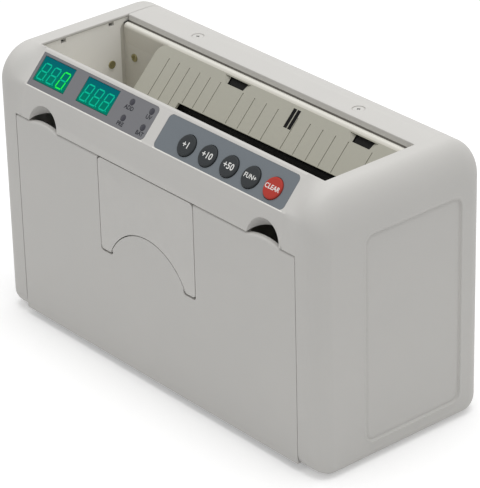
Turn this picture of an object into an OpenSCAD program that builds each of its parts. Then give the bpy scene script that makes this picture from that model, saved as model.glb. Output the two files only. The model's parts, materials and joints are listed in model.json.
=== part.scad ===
// Portable banknote counter with a top hopper, a sloping control panel and a fold-down front door.
// X runs along the front to the right, Y to the back, Z up. Origin on the table under the middle.

/* [Overall size] */
// Overall width across both end casings
body_w = 220; // [200:1:270]
// Overall depth from the door to the rear cover
body_d = 94; // [94:1:120]
// Overall height from the table to the casing tops
body_h = 132; // [130:1:165]

/* [Casings] */
// Width of one end casing seen from the front
casing_w = 14.5; // [13:0.5:18]
// Wall of the moulded casings
wall = 2.4; // [2:0.1:3]
// Rounding of the front and rear top edges
top_r = 16; // [12:0.5:18]
// Rounding of the upright corners and of the top edges at both ends
corner_r = 8; // [6:0.5:10]
// Rounding of the bottom edges
bottom_r = 4; // [3:0.5:6]
// Rounding of the lower front and rear corners of the end casings
heel_r = 8; // [4:0.5:9]
// Depth of the sunk panel in each end face
end_recess = 0.8; // [0.4:0.1:1.2]
// Thickness of the side frames
frame_t = 2; // [1.6:0.1:2.6]
// Setback of the side frames behind the casing lip
frame_back = 0.7; // [0.4:0.1:1]

/* [Control panel] */
// How far the fold of the panel lies behind the door face
fold_back = 2.8; // [2:0.1:4]
// How far the fold lies below the casing top
fold_drop = 14; // [12:0.5:16]
// Depth of the panel from the door face to the hopper
panel_d = 16.4; // [15.5:0.1:18]
// Height of the panel from its lip edge to the casing top
panel_h = 28.9; // [26:0.1:34]
// Shell thickness of the panel
panel_t = 2.2; // [1.8:0.1:2.4]
// Thickness of the printed labels
label_t = 0.4; // [0.3:0.05:0.6]
// Diameter of the round keys
key_d = 10; // [8:0.5:10.5]
// Spacing of the round keys
key_pitch = 13.9; // [12.5:0.1:14.5]
// Travel of a key
key_travel = 0.6; // [0.4:0.1:0.7]
// Width of a digit display
display_w = 22; // [18:0.5:24]
// Height of a digit display
display_h = 12; // [9:0.5:12.5]
// Diameter of an indicator lamp
lamp_d = 3; // [2:0.1:3.4]

/* [Hopper] */
// Depth of the top strip of the rear cover
strip_d = 27.4; // [24:0.2:30]
// Slope of the feed plate
plate_angle = 41; // [38:1:44]
// Thickness of the feed plate
plate_t = 2.2; // [1.8:0.1:2.4]
// Spacing of the grooves in the feed plate
groove_pitch = 7.6; // [6:0.1:10]
// Width of the side pocket beside the feed plate
pocket_w = 27.5; // [24:0.5:30]

/* [Door] */
// Thickness of the door and its flap
door_t = 2.4; // [2:0.1:3]
// Gap round the door
door_gap = 0.6; // [0.4:0.1:1]
// Diameter of the door hinge pins
hinge_d = 4; // [3:0.1:5]
// Width of the flap in the door
flap_w = 65; // [50:1:80]
// Height of the flap lobes above the door foot
flap_low = 53; // [45:1:56]
// Rise of the finger arch between the lobes
arch_rise = 17; // [12:0.5:20]
// Gap round the flap
flap_gap = 0.45; // [0.35:0.05:0.8]

/* [Mechanism] */
// Diameter of the roller shafts
shaft_d = 6; // [5:0.1:7]
// Radius of the pick rollers
pick_r = 8.2; // [7:0.1:8.6]
// Radius of the feed rollers
feed_r = 11; // [9:0.1:12]
// Radius of the transport rollers
transport_r = 9.5; // [8:0.1:10]
// Radius of the fixed retard rollers
retard_r = 7; // [6:0.1:8]
// Radius of the pinch rollers
pinch_r = 5; // [4.4:0.1:6]
// Width of each roller
roller_w = 11; // [8:0.5:12]
// Distance between the two rollers on a shaft
roller_span = 81.8; // [60:0.2:84]
// Diameter of the pins of the retard and pinch rollers
pin_d = 4; // [3:0.1:4.6]
// Width of a belt
belt_w = 2.4; // [2:0.1:2.6]
// Thickness of a belt
belt_t = 1; // [0.8:0.1:1.2]
// Radius of the motor can
motor_r = 10; // [8:0.1:10.4]
// Length of the motor can
motor_l = 34; // [26:1:38]

/* [Power] */
// Diameter of a battery cell
cell_d = 14.4; // [10.5:0.1:14.6]
// Length of a battery cell
cell_l = 50.4; // [44:0.2:50.6]
// Wall of the battery tray
tray_t = 1.5; // [1.2:0.1:2]

/* [Fits] */
// Radial clearance of a running shaft
run_fit = 0.05; // [0.02:0.01:0.08]
// Clearance between fixed pieces
fit = 0.2; // [0.1:0.05:0.3]
// Clearance of a key in its hole
key_fit = 0.25; // [0.2:0.05:0.4]
// Clearance between a belt and its pulley
belt_fit = 0.3; // [0.25:0.05:0.4]

/* [Base] */
// Height of the feet below the casings
foot_h = 1.2; // [1:0.1:2]
// Thickness of the base plate
base_t = 2.4; // [2:0.1:3]
// Diameter of a rubber foot
foot_d = 12; // [8:0.5:14]
// Diameter of a screw shank
screw_d = 2.6; // [2:0.1:3]

/* [Hidden] */
$fn = 64;
hw = body_w / 2;
hd = body_d / 2;
z0 = foot_h;
xi = hw - casing_w;
frame_x = xi + frame_back;
cover_x = xi - fit - 0.1;
press = 0.05;
eps = 0.1;

// Front line of the panel and of the casing shoulders
lip_z = body_h - panel_h;
fold = [-hd + fold_back, body_h - fold_drop];
panel_y = -hd + panel_d;
top_edge = 1.1;
slope_end = [panel_y - top_edge, body_h - 0.5];
lean_a = atan2(fold[1] - lip_z, fold_back);
slope_a = atan2(slope_end[1] - fold[1], slope_end[0] - fold[0]);
skirt_t = 1.6;
skirt_z = body_h - 23;
label_v = [0.6, 17.1];
label_r = 2.5;
label_left = [-xi + 5.8, -7.2];
label_right = [-0.2, xi - 11.6];
display_x = [label_left[0] + 13, label_left[0] + 44.3];
display_v = 9.7;
lamp_x = [label_left[1] - 17.3, label_left[1] - 3.8];
lamp_v = [5.9, 13.9];
key_x = label_right[0] + 18;
key_v = 7.4;
key_rise = 0.8;
key_flange = 0.7;
board_w = -5.4;
board_t = 1.6;
board_v = [-2, 9.2];
board_x = [-xi + 5.5, xi - 9.5];
board_posts = [display_x[0] + 15.7, label_right[0] - 3.5, label_right[1] - 0.9];
scoop_x = xi - 20.5;
scoop_r = 10.5;
scoop_out = 2.4;
scoop_drop = 0.5;
scoop_t = 1.2;
board_post_r = 1.8;
board_post_v = 1.4;
window_deep = 2.8;
display_t = 2.5;
display_foot = 4.5;
lamp_l = 3;
switch_side = 6;
switch_low = 1.2;
plunger_r = 1.6;
flange_out = 0.8;
flange_cut = 4.2;

// Hopper and feed plate
strip_y = hd - strip_d;
strip_lip = 2.9;
strip_lip_t = 1.6;
plate_p = [strip_y - 0.65, body_h - 5.4];
plate_c = cos(plate_angle);
plate_s = sin(plate_angle);
plate_low = strip_y - 15.4;
plate_l = (plate_p[0] - plate_low) / plate_c;
plate_x0 = -xi + pocket_w;
plate_x1 = frame_x - fit;
rail_r = 1.6;
rail_p = [strip_y + 0.1, body_h - 5.3];
ear_x = plate_x0 + 25.5;
ear_l = 11;
plate_lip = 4;
groove_w = 0.5;
groove_deep = 0.4;
groove_end = 3.5;
twin_w = 1.8;
twin_x = 1.4;
path_x = xi - 68;
roller_x = [path_x - roller_span / 2, path_x + roller_span / 2];
slot_w = 5.4;
slot_l = 10.5;
slot_u = -7.5;
slot_x = path_x - 1.6;
sensor_t = 2;

// Shafts: [y, z]
nip_y = plate_low - 1.7;
pick_u = -2.65;
pick_drop = pick_r - 0.1;
pick_c = plate_p + pick_u * [plate_c, plate_s] + pick_drop * [plate_s, -plate_c];
feed_c = [nip_y + feed_r, pick_c[1] - 33.7];
transport_c = [nip_y + transport_r, feed_c[1] - 24];
nip_gap = 0.3;
retard_c = [nip_y - nip_gap - retard_r, feed_c[1]];
pinch_c = [nip_y - nip_gap - pinch_r, transport_c[1]];
motor_c = [transport_c[0] + 21, transport_c[1] + 9];
guide_y = nip_y + 0.8;
guide_t = 1.8;
front_y = nip_y - 3.2 - guide_t;
guide_low = transport_c[1] - 5;
guide_high = body_h - 27.8;
window_fit = 0.4;
guide_fit = 0.7;
lug_t = 3;
lug_fit = 0.6;
lug_back = 4.5;
flare_h = 6;

// Bearing plates
bear_t = 1.8;
bear_foot = 10;
bear_setback = 5;
bear_l = plate_x0 - fit - bear_t;
bear_r = xi - 11.3;
bush_r = shaft_d / 2 + 1.2;
flange_r = bush_r + 1;
flange_t = 0.8;
bear_y = guide_y + guide_t + fit;

// Pulley planes: inner face of the near and the far plane
pulley_w = belt_w + 1.4;
plane_a = bear_r + bear_t + flange_t + 0.3;
plane_b = plane_a + pulley_w + fit;
shaft_end = plane_b + pulley_w + 0.3;
shaft_start = bear_l - flange_t;
pick_pr = shaft_d / 2 + 1;
feed_pr = shaft_d / 2 + 3;
transport_pr = shaft_d / 2 + 2;
drive_pr = transport_c[0] - guide_y - guide_t - fit - belt_fit - belt_t - 0.2;
motor_pr = 3.2;
motor_sr = 1.5;
rim = 0.8;
rim_t = 0.5;
motor_screw_a = [30, 210];
motor_screw_r = motor_r * 0.66;

// Door
hinge_c = [-hd + 5.5, z0 + 6.8];
ear_r = hinge_d / 2 + 1.8;
ear_t = 2;
door_x = xi - door_gap;
door_z0 = z0 + 2.6;
door_z1 = lip_z - door_gap;
flap_x = -2.9;
flap_z = door_z0 + flap_low;
flap_c = [-hd + door_t / 2, flap_z + door_t / 2];
arch_half = flap_w / 2 - 6;
arch_r = (arch_half * arch_half + arch_rise * arch_rise) / (2 * arch_rise);
arch_z = flap_z + arch_rise - arch_r;
trunnion_r = 0.6;
trunnion_l = 1.4;
trunnion_end = 0.8;
lobe_r = 3;
flap_top_r = 2.4;
relief_z = flap_c[1] + door_t / 2;
relief_x = arch_at(flap_c[1] + 0.75 * door_t) - flap_gap;
relief_w = flap_w / 2 + flap_gap - relief_x;
door_flange = 4;
grip_w = 19.6;
grip_rise = 2;
grip_r = (grip_w * grip_w / 4 + grip_rise * grip_rise) / (2 * grip_rise);

// Base, power and screws
base_z1 = z0 + base_t;
base_y0 = -hd + 13;
base_y1 = hd - wall - fit;
foot_x = xi - 14;
foot_y = [base_y0 + 10, base_y1 - 9];
foot_sink = 1.2;
floor_z1 = max(base_z1, z0 + wall);
tray_x = -2;
tray_gap = 3.5;
contact_t = tray_gap - 0.6;
contact_y = 4;
cell_gap = 0.4;
tray_w = 2 * cell_l + 2 * tray_gap + 2 * tray_t;
tray_h = 2 * cell_d + 0.8 + 2 * tray_t;
tray_y1 = hd - wall - 0.8;
tray_y0 = tray_y1 - cell_d - 0.8 - tray_t;
cell_y = tray_y1 - 0.4 - cell_d / 2;
cell_z = base_z1 + tray_t + 0.2 + cell_d / 2;
hatch_x = tray_w / 2 + 1;
hatch_z = [base_z1 + 1.4, base_z1 + tray_h - 0.4];
jack_p = [-xi + 14, z0 + 19];
jack_w = 9.6;
jack_h = 11.6;
jack_l = 12.6;
jack_r = 3;
jack_deep = 9.6;
jack_pin_r = 1;
port_back = 0.4;
switch_p = [-xi + 14, z0 + 47];
switch_w = 13;
switch_h = 19;
switch_l = 13.6;
well_w = 8.8;
well_h = 15.6;
well_deep = 9;
rocker_w = 8.2;
pivot_r = 0.8;
pivot_l = 10.2;
rocker_a = 10;
rocker_y = hd - 4.4;
board_y = hd - 7.4;
board_z = [motor_c[1] - 8, pick_c[1] - 9];
board_x0 = plate_x0 + 6;
board_x1 = plate_x1 - 52;
post_r = 3.2;
rear_post_r = 2.4;
chip_w = 14;
chip_h = 3;
screw_r = screw_d / 2;
head_r = screw_r + 1.3;
head_h = 1.5;
flat_head_h = 0.8;
flat_seat = 0.9;
flat_l = 5.6;
side_head_r = screw_r + 0.6;
side_head_h = 0.6;
side_cross_deep = 0.35;
cross_w = 0.7;
cross_deep = 0.7;
strip_screw_x = xi - 41.9;
strip_screw_y = strip_y + 6.9;
recess_h = 0.5;
crossbar_y = strip_y + 12.2;
crossbar_t = 1.5;
crossbar_h = 20;
tab_w = 12;
tab_out = 4;
tab_z = body_h - wall - fit - crossbar_t;
side_screws = [[strip_y - 10.2, body_h - 22.7], [hd - 16, z0 + 20]];
pocket_y = strip_y - 2.1;
pocket_t = 1.8;
pocket_reach = 3.2;
pocket_z = feed_c[1] + flange_r + 0.6;
pocket_cut_y = strip_y - 4.4;
pocket_screw = [-xi + 6.4, body_h - 19.4];
slot_y = [strip_y - 9.4, strip_y - 36.9];
wall_slot_w = 3;
wall_slot_h = 2.6;
pocket_cut_top = body_h - 5;
pocket_cut_r = 4;
recess_y = [-hd + 25.5, hd - 12.8];
recess_z = [z0 + 8, body_h - 23.1];
recess_r = 5;

// Point where the line through p at angle a meets the line through q at angle b
function meet(p, a, q, b) = p + [cos(a), sin(a)] * cross(q - p, [cos(b), sin(b)]) / sin(b - a);
// Point p moved square to a front line at angle a, into the body
function inward(p, a, i) = p + i * [sin(a), -cos(a)];
// Front outline of the body set in by i: lean, fold and top points
function front_line(i) = [
  meet([-hd + i, 0], 90, inward(fold, lean_a, i), lean_a),
  meet(inward(fold, lean_a, i), lean_a, inward(fold, slope_a, i), slope_a),
  meet(inward(fold, slope_a, i), slope_a, [0, body_h - i], 0)
];
// Half width of the finger arch at height z
function arch_at(z) = sqrt(pow(arch_r, 2) - pow(z - arch_z, 2));
// Point on a circle of radius r about c at angle a
function tangent(c, r, a) = c + r * [cos(a), sin(a)];

// Square nib left over outside a rounded corner at p; the body lies towards -sx, -sy
module corner_nib(p, sx, sy, r) {
  translate(p)
    mirror([sx > 0 ? 1 : 0, 0])
      mirror([0, sy > 0 ? 1 : 0])
        difference() {
          translate([-1, -1]) square(r + 1);
          translate([r, r]) circle(r = r);
        }
}

// Rectangle with round corners about the origin
module round_rect(w, h, r) {
  square([w - 2 * r, h], center = true);
  square([w, h - 2 * r], center = true);
  for (x = [-1, 1], y = [-1, 1])
    translate([x * (w / 2 - r), y * (h / 2 - r)]) circle(r = r);
}

// Extrudes a Y-Z outline along X from x0 to x1
module along_x(x0, x1) {
  translate([x0, 0, 0])
    rotate([90, 0, 90])
      linear_extrude(x1 - x0) children();
}

// Extrudes an X-Z outline along Y from y0 to y1
module along_y(y0, y1) {
  translate([0, y1, 0])
    rotate([90, 0, 0])
      linear_extrude(y1 - y0) children();
}

// Round bar along X at a [y, z] point
module bar_x(c, r, x0, x1) {
  translate([x0, c[0], c[1]])
    rotate([0, 90, 0])
      cylinder(r = r, h = x1 - x0);
}

// Frame of the sloping panel: X along, Y up the slope, Z out of the face
module on_panel() {
  translate([0, fold[0], fold[1]])
    rotate([slope_a, 0, 0]) children();
}

// Frame of the feed plate: X along, Y up the slope, Z out of the face
module on_plate() {
  translate([0, plate_p[0], plate_p[1]])
    rotate([plate_angle, 0, 0]) children();
}

// Side outline of the body between the casings set in by i
module side_outline(i) {
  f = front_line(i);
  difference() {
    polygon([[-hd + i, z0 + i], f[0], f[1], f[2], [hd - i, body_h - i], [hd - i, z0 + i]]);
    corner_nib([hd - i, body_h - i], 1, 1, top_r - i);
    corner_nib([hd - i, z0 + i], 1, -1, max(bottom_r - i, 0.6));
    corner_nib([-hd + i, z0 + i], -1, -1, max(bottom_r - i, 0.6));
  }
}

// Side outline of an end casing set in by i
module casing_outline(i) {
  difference() {
    translate([-hd + i, z0 + i]) square([body_d - 2 * i, body_h - z0 - 2 * i]);
    for (s = [-1, 1]) {
      corner_nib([s * (hd - i), body_h - i], s, 1, top_r - i);
      corner_nib([s * (hd - i), z0 + i], s, -1, heel_r - i);
    }
  }
}

// Outer form of the right end casing set in by i, from x0 outwards
module casing_form(i, x0) {
  x1 = hw - i;
  intersection() {
    translate([0, 0, -1])
      linear_extrude(body_h + 2)
        difference() {
          translate([x0, -hd + i]) square([x1 - x0, body_d - 2 * i]);
          corner_nib([x1, -hd + i], 1, -1, corner_r - i);
          corner_nib([x1, hd - i], 1, 1, corner_r - i);
        }
    along_y(-hd - 1, hd + 1)
      difference() {
        translate([x0, z0 + i]) square([x1 - x0, body_h - z0 - 2 * i]);
        corner_nib([x1, body_h - i], 1, 1, corner_r - i);
        corner_nib([x1, z0 + i], 1, -1, max(bottom_r - i, 0.6));
      }
    along_x(x0 - 1, hw + 1) casing_outline(i);
  }
}

// One end casing on the right: a cap open to the inside, with a web beside the panel and two screw posts
module end_casing() {
  difference() {
    union() {
      difference() {
        casing_form(0, xi);
        casing_form(wall, xi - 1);
      }
      along_x(xi, xi + wall)
        difference() {
          casing_outline(wall / 2);
          side_outline(wall);
        }
    }
    translate([hw - end_recess, 0, 0])
      rotate([90, 0, 90])
        linear_extrude(2)
          translate([recess_y[0] + recess_y[1], recess_z[0] + recess_z[1]] / 2)
            round_rect(recess_y[1] - recess_y[0], recess_z[1] - recess_z[0], recess_r);
  }
  for (p = side_screws)
    difference() {
      bar_x(p, post_r, frame_x + frame_t, hw - wall + 0.2);
      bar_x(p, screw_r + press, frame_x - 1, hw - wall - 1);
    }
}

module left_end_casing() {
  color("gainsboro") mirror([1, 0, 0]) end_casing();
}

module right_end_casing() {
  color("gainsboro") end_casing();
}

// Side frame on the right: the hopper side wall, with the door bearing and the screw holes
module side_frame() {
  difference() {
    intersection() {
      casing_form(wall + fit, xi - 1);
      along_x(frame_x, frame_x + frame_t) side_outline(wall + fit);
    }
    bar_x(hinge_c, hinge_d / 2 + run_fit, frame_x - 1, frame_x + frame_t + 1);
    for (p = side_screws) bar_x(p, screw_r + fit, frame_x - 1, frame_x + frame_t + 1);
    for (y = slot_y)
      translate([frame_x - 1, y - wall_slot_w / 2, body_h - wall - fit - wall_slot_h])
        cube([frame_t + 2, wall_slot_w, wall_slot_h + 1]);
  }
}

module left_side_frame() {
  color("whitesmoke")
    difference() {
      mirror([1, 0, 0]) side_frame();
      along_x(-frame_x - frame_t - 1, -frame_x + 1)
        difference() {
          translate([pocket_cut_y, pocket_z]) square([9, pocket_cut_top - pocket_z]);
          corner_nib([pocket_cut_y, pocket_cut_top], -1, 1, pocket_cut_r);
        }
    }
}

module right_side_frame() {
  color("whitesmoke") side_frame();
}

module base_plate() {
  x = xi - fit;
  color("dimgray")
    difference() {
      translate([-x, base_y0, z0]) cube([2 * x, base_y1 - base_y0, base_t]);
      for (sx = [-1, 1], y = foot_y)
        translate([sx * foot_x, y, z0 - 1]) cylinder(d = foot_d + 2 * fit, h = 1 + foot_sink);
      for (p = base_screw_points())
        translate([p[0], p[1], z0 - 1]) {
          cylinder(r = screw_r + fit, h = base_t + 2);
          cylinder(r = head_r + fit, h = 1 + head_h);
        }
    }
}

// Where the base screws hold the feet of the bearing plates
function base_screw_points() = [
  for (x = [bear_l, bear_r], y = [bear_y + 6, hd - 22]) [x - bear_foot / 2, y]
];

module rubber_feet() {
  color("#222222")
    for (sx = [-1, 1], y = foot_y)
      translate([sx * foot_x, y, 0]) cylinder(d = foot_d, h = z0 + foot_sink);
}

// Outline of the rear cover set in by i
module rear_outline(i) {
  difference() {
    translate([strip_y, z0 + i]) square([hd - i - strip_y, body_h - z0 - 2 * i]);
    corner_nib([hd - i, body_h - i], 1, 1, top_r - i);
  }
}

module rear_cover() {
  color("gainsboro")
    difference() {
      union() {
        along_x(-cover_x, cover_x)
          difference() {
            rear_outline(0);
            translate([-0.01, -1]) rear_outline_inner();
          }
        for (px = [board_x0 + 4, board_x1 - 4], pz = [board_z[0] + 4, board_z[1] - 4])
          translate([px, board_y + board_t, pz])
            rotate([-90, 0, 0]) cylinder(r = rear_post_r, h = hd - wall - board_y - board_t + eps);
      }
      for (sx = [-1, 1])
        translate([sx * strip_screw_x, strip_screw_y, 0]) {
          translate([0, 0, body_h - recess_h]) cylinder(r = head_r + 0.4, h = 2);
          translate([0, 0, body_h - wall - 1]) cylinder(r = screw_r + fit, h = wall + 2);
          translate([0, 0, body_h - recess_h - flat_seat]) cylinder(r = head_r + 0.1, h = 2);
        }
      along_y(hd - wall - 1, hd + 1) {
        translate([tray_x - hatch_x, hatch_z[0]]) square([2 * hatch_x, hatch_z[1] - hatch_z[0]]);
        translate([jack_p[0] - jack_w / 2 - fit, jack_p[1] - jack_h / 2 - fit])
          square([jack_w + 2 * fit, jack_h + 2 * fit]);
        translate([switch_p[0] - switch_w / 2 - fit, switch_p[1] - switch_h / 2 - fit])
          square([switch_w + 2 * fit, switch_h + 2 * fit]);
      }
    }
}

// Hollow of the rear cover, open at the bottom and below the strip lip
module rear_outline_inner() {
  difference() {
    translate([strip_y - 1, z0 - 1]) square([hd - wall - strip_y + 1, body_h - z0 - wall + 2]);
    corner_nib([hd - wall, body_h - wall + 1], 1, 1, top_r - wall);
    translate([strip_y - 2, body_h - strip_lip + 1]) square([2 + strip_lip_t, strip_lip]);
  }
}

// Screw with a cross recess in a head of radius r and height h; seat at the origin, shank of length l down
module screw(l, r, h, deep) {
  difference() {
    union() {
      cylinder(r = r, h = h);
      translate([0, 0, -l]) cylinder(r = screw_r, h = l + 0.1);
    }
    for (a = [0, 90])
      rotate(a) translate([-r * 0.55, -cross_w / 2, h - deep]) cube([r * 1.1, cross_w, 1]);
  }
}

// Pan-head screw under the base
module base_screw(l) {
  screw(l, head_r, head_h, cross_deep);
}

// Small flat-head screw in the hopper
module side_screw(l) {
  screw(l, side_head_r, side_head_h, side_cross_deep);
}

module rear_cover_screws() {
  color("silver")
    for (sx = [-1, 1])
      translate([sx * strip_screw_x, strip_screw_y, body_h - recess_h - flat_seat])
        difference() {
          union() {
            cylinder(r = head_r, h = flat_head_h);
            translate([0, 0, -flat_l]) cylinder(r = screw_r, h = flat_l + eps);
          }
          for (a = [0, 90])
            rotate(a) translate([-head_r * 0.6, -cross_w / 2, flat_head_h - cross_deep + 0.15])
              cube([head_r * 1.2, cross_w, 1]);
        }
}

module case_screws() {
  color("darkkhaki") {
    for (p = base_screw_points())
      translate([p[0], p[1], z0 + head_h]) rotate([180, 0, 0])
        base_screw(base_t - head_h + bear_t + 1.5);
    for (s = [-1, 1], p = side_screws)
      translate([s * frame_x, p[0], p[1]]) rotate([0, -90 * s, 0]) side_screw(frame_t + 6);
    translate([pocket_screw[0], pocket_y, pocket_screw[1]]) rotate([90, 0, 0]) side_screw(pocket_t + 1);
    for (a = motor_screw_a)
      translate([bear_r + bear_t, motor_c[0], motor_c[1]])
        rotate([a, 0, 0]) translate([0, 0, motor_screw_r]) rotate([0, 90, 0]) motor_screw();
  }
}

// Low screw that holds the motor to its bearing plate
module motor_screw() {
  cylinder(r = head_r, h = flange_t);
  translate([0, 0, -bear_t - 3]) cylinder(r = screw_r, h = bear_t + 3.1);
}

module top_crossbar() {
  x0 = plate_x0;
  x1 = bear_r - fit;
  color("silver")
    difference() {
      union() {
        translate([x0, crossbar_y, body_h - crossbar_h])
          cube([x1 - x0, crossbar_t, tab_z + crossbar_t - 0.6 - body_h + crossbar_h]);
        for (sx = [-1, 1])
          translate([sx * strip_screw_x - tab_w / 2, strip_screw_y - tab_out, tab_z])
            cube([tab_w, crossbar_y - strip_screw_y + tab_out + 0.2, crossbar_t]);
      }
      for (sx = [-1, 1])
        translate([sx * strip_screw_x, strip_screw_y, tab_z - 1])
          cylinder(r = screw_r + press, h = crossbar_t + 2);
    }
}

// Outline of the control panel: lip, slope, top edge and the skirt in the hopper
module panel_outline() {
  skirt_in = panel_y + 0.7 - skirt_t;
  lip_in = meet(inward(fold, lean_a, panel_t), lean_a, [0, lip_z], 0);
  fold_in = meet(inward(fold, lean_a, panel_t), lean_a, inward(fold, slope_a, panel_t), slope_a);
  top_in = meet(inward(fold, slope_a, panel_t), slope_a, [skirt_in, 0], 90);
  polygon([
    [-hd, lip_z], fold, slope_end, [panel_y, body_h], [panel_y + 0.7, body_h - 0.6],
    [panel_y + 0.7, skirt_z], [skirt_in, skirt_z], top_in, fold_in, lip_in
  ]);
}

module control_panel() {
  color("gainsboro")
    difference() {
      union() {
        along_x(-cover_x, cover_x) panel_outline();
        for (px = board_posts)
          on_panel()
            translate([px, board_post_v, board_w]) cylinder(r = board_post_r, h = -board_w - panel_t + 0.2);
        for (s = [-1, 1])
          intersection() {
            translate([s * scoop_x, -hd - scoop_out, lip_z - scoop_drop]) sphere(r = scoop_r + scoop_t);
            along_x(-cover_x, cover_x)
              polygon([[-hd, lip_z], fold, [panel_y, fold[1]], [panel_y, lip_z]]);
          }
      }
      for (s = [-1, 1])
        translate([s * scoop_x, -hd - scoop_out, lip_z - scoop_drop]) sphere(r = scoop_r);
      on_panel() {
        for (l = [label_left, label_right])
          translate([0, 0, -label_t]) linear_extrude(2) label_outline(l, eps);
        for (dx = display_x)
          translate([dx - display_w / 2 - fit, display_v - display_h / 2 - fit, -window_deep])
            cube([display_w + 2 * fit, display_h + 2 * fit, window_deep + 1]);
        for (lx = lamp_x, lv = lamp_v)
          translate([lx, lv, -panel_t - 1]) cylinder(d = lamp_d + fit, h = panel_t + 2);
        for (k = [0:4])
          translate([key_x + k * key_pitch, key_v, -panel_t - 1])
            cylinder(r = key_d / 2 + key_fit, h = panel_t + 2);
      }
    }
}

// Outline of a printed label grown by g; the left label is square at its outer end
module label_outline(l, g) {
  w = l[1] - l[0] + 2 * g;
  h = label_v[1] - label_v[0] + 2 * g;
  translate([(l[0] + l[1]) / 2, (label_v[0] + label_v[1]) / 2]) {
    round_rect(w, h, label_r - eps + g);
    if (l == label_left) translate([-w / 2, -h / 2]) square([w / 2, h]);
  }
}

// Blank printed label over one half of the panel
module label_blank(l) {
  translate([0, 0, -label_t]) linear_extrude(label_t) label_outline(l, 0);
}

module display_label() {
  color("gray")
    on_panel()
      difference() {
        label_blank(label_left);
        for (dx = display_x)
          translate([dx - display_w / 2 - fit, display_v - display_h / 2 - fit, -2])
            cube([display_w + 2 * fit, display_h + 2 * fit, 4]);
        for (lx = lamp_x, lv = lamp_v) translate([lx, lv, -2]) cylinder(d = lamp_d + fit, h = 4);
      }
}

module keypad_label() {
  color("slategray")
    on_panel()
      difference() {
        label_blank(label_right);
        for (k = [0:4])
          translate([key_x + k * key_pitch, key_v, -2]) cylinder(r = key_d / 2 + key_fit, h = 4);
      }
}

// Digit module: a thin face in the panel window and a foot on the control board
module digit_module(dx) {
  on_panel() {
    translate([dx - display_w / 2, display_v - display_h / 2, -display_t - eps])
      cube([display_w, display_h, display_t]);
    translate([dx - display_w / 2 + 2, display_v - display_h / 2 + 0.5, board_w])
      cube([display_w - 4, display_foot, -board_w - display_t]);
  }
}

module count_display() {
  color("teal") digit_module(display_x[0]);
}

module preset_display() {
  color("teal") digit_module(display_x[1]);
}

module indicator_leds() {
  color("black")
    on_panel()
      for (lx = lamp_x, lv = lamp_v)
        translate([lx, lv, -lamp_l]) cylinder(d = lamp_d, h = lamp_l);
}

module control_board() {
  color("darkgreen")
    on_panel()
      translate([board_x[0], board_v[0], board_w - board_t])
        cube([board_x[1] - board_x[0], board_v[1] - board_v[0], board_t]);
}

module key_switches() {
  color("#333333")
    on_panel()
      for (k = [0:4])
        translate([key_x + k * key_pitch, key_v - switch_low, board_w]) {
          translate([-switch_side / 2, -switch_side / 2, 0]) cube([switch_side, switch_side, switch_low]);
          translate([0, switch_low, switch_low - eps])
            cylinder(r = plunger_r, h = -board_w - panel_t - key_flange - key_travel - 1.4);
        }
}

// Round key with a hidden flange under the panel
module key_cap(k) {
  on_panel()
    translate([key_x + k * key_pitch, key_v, 0]) {
      translate([0, 0, -panel_t - eps]) cylinder(r = key_d / 2, h = panel_t + eps + key_rise);
      translate([0, 0, -panel_t - eps - key_flange])
        intersection() {
          cylinder(r = key_d / 2 + flange_out, h = key_flange + press);
          translate([-key_d, -key_d, 0]) cube([2 * key_d, key_d + flange_cut, key_flange + press]);
        }
    }
}

module button_add_one() {
  color("#3e4244") key_cap(0);
}

module button_add_ten() {
  color("#3e4244") key_cap(1);
}

module button_add_fifty() {
  color("#3e4244") key_cap(2);
}

module button_function() {
  color("#3e4244") key_cap(3);
}

module button_clear() {
  color("firebrick") key_cap(4);
}

module feed_plate() {
  color("lightgray")
    difference() {
      union() {
        on_plate()
          translate([plate_x0, -plate_l - plate_lip, -plate_t])
            cube([plate_x1 - plate_x0, plate_l + plate_lip + 1.6, plate_t]);
        on_plate()
          translate([plate_x0, -plate_l - ear_l, -plate_t]) cube([ear_x - plate_x0, ear_l + 1, plate_t]);
        bar_x(rail_p, rail_r, -xi + fit, xi - fit);
      }
      for (x = groove_points())
        on_plate()
          translate([x - groove_w / 2, -plate_l - ear_l - 1, -groove_deep])
            cube([groove_w, plate_l + ear_l + 1 - groove_end, 1]);
      for (x = roller_x)
        bar_x(pick_c, pick_r + window_fit, x - roller_w / 2 - 0.5, x + roller_w / 2 + 0.5);
      for (s = [-1, 1])
        on_plate()
          translate([slot_x + s * twin_x - twin_w / 2, slot_u - slot_l / 2, -plate_t - 1])
            cube([twin_w, slot_l, plate_t + 2]);
    }
}

// Grooves left and right of the roller windows and of the twin slot
function groove_points() = concat(
  [for (x = [roller_x[0] - 9:-groove_pitch:plate_x0 + 4]) x],
  [for (x = [roller_x[0] + 9:groove_pitch:slot_x - 5]) x],
  [for (x = [slot_x + 6:groove_pitch:roller_x[1] - 8.5]) x],
  [for (x = [roller_x[1] + 9:groove_pitch:plate_x1 - 4]) x]
);

module hopper_sensor() {
  color("#1a1a1a")
    on_plate()
      translate([slot_x - slot_w / 2, slot_u - slot_l / 2, -plate_t - fit - sensor_t])
        cube([slot_w, slot_l, sensor_t]);
}

module sensor_bar() {
  y0 = plate_low - 1.3;
  y1 = plate_low - 0.15;
  t = tan(plate_angle);
  top = plate_p[1] - (plate_p[0] - y0) * t - plate_t / plate_c - 0.3;
  color("#111111")
    along_x(ear_x + fit, plate_x1)
      polygon([
        [y0, guide_high + fit], [y0 + 3.4, guide_high + fit], [y0 + 3.4, top - 2.4],
        [y1, top - 2.4], [y1, top + (y1 - y0) * t], [y0, top]
      ]);
}

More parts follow.
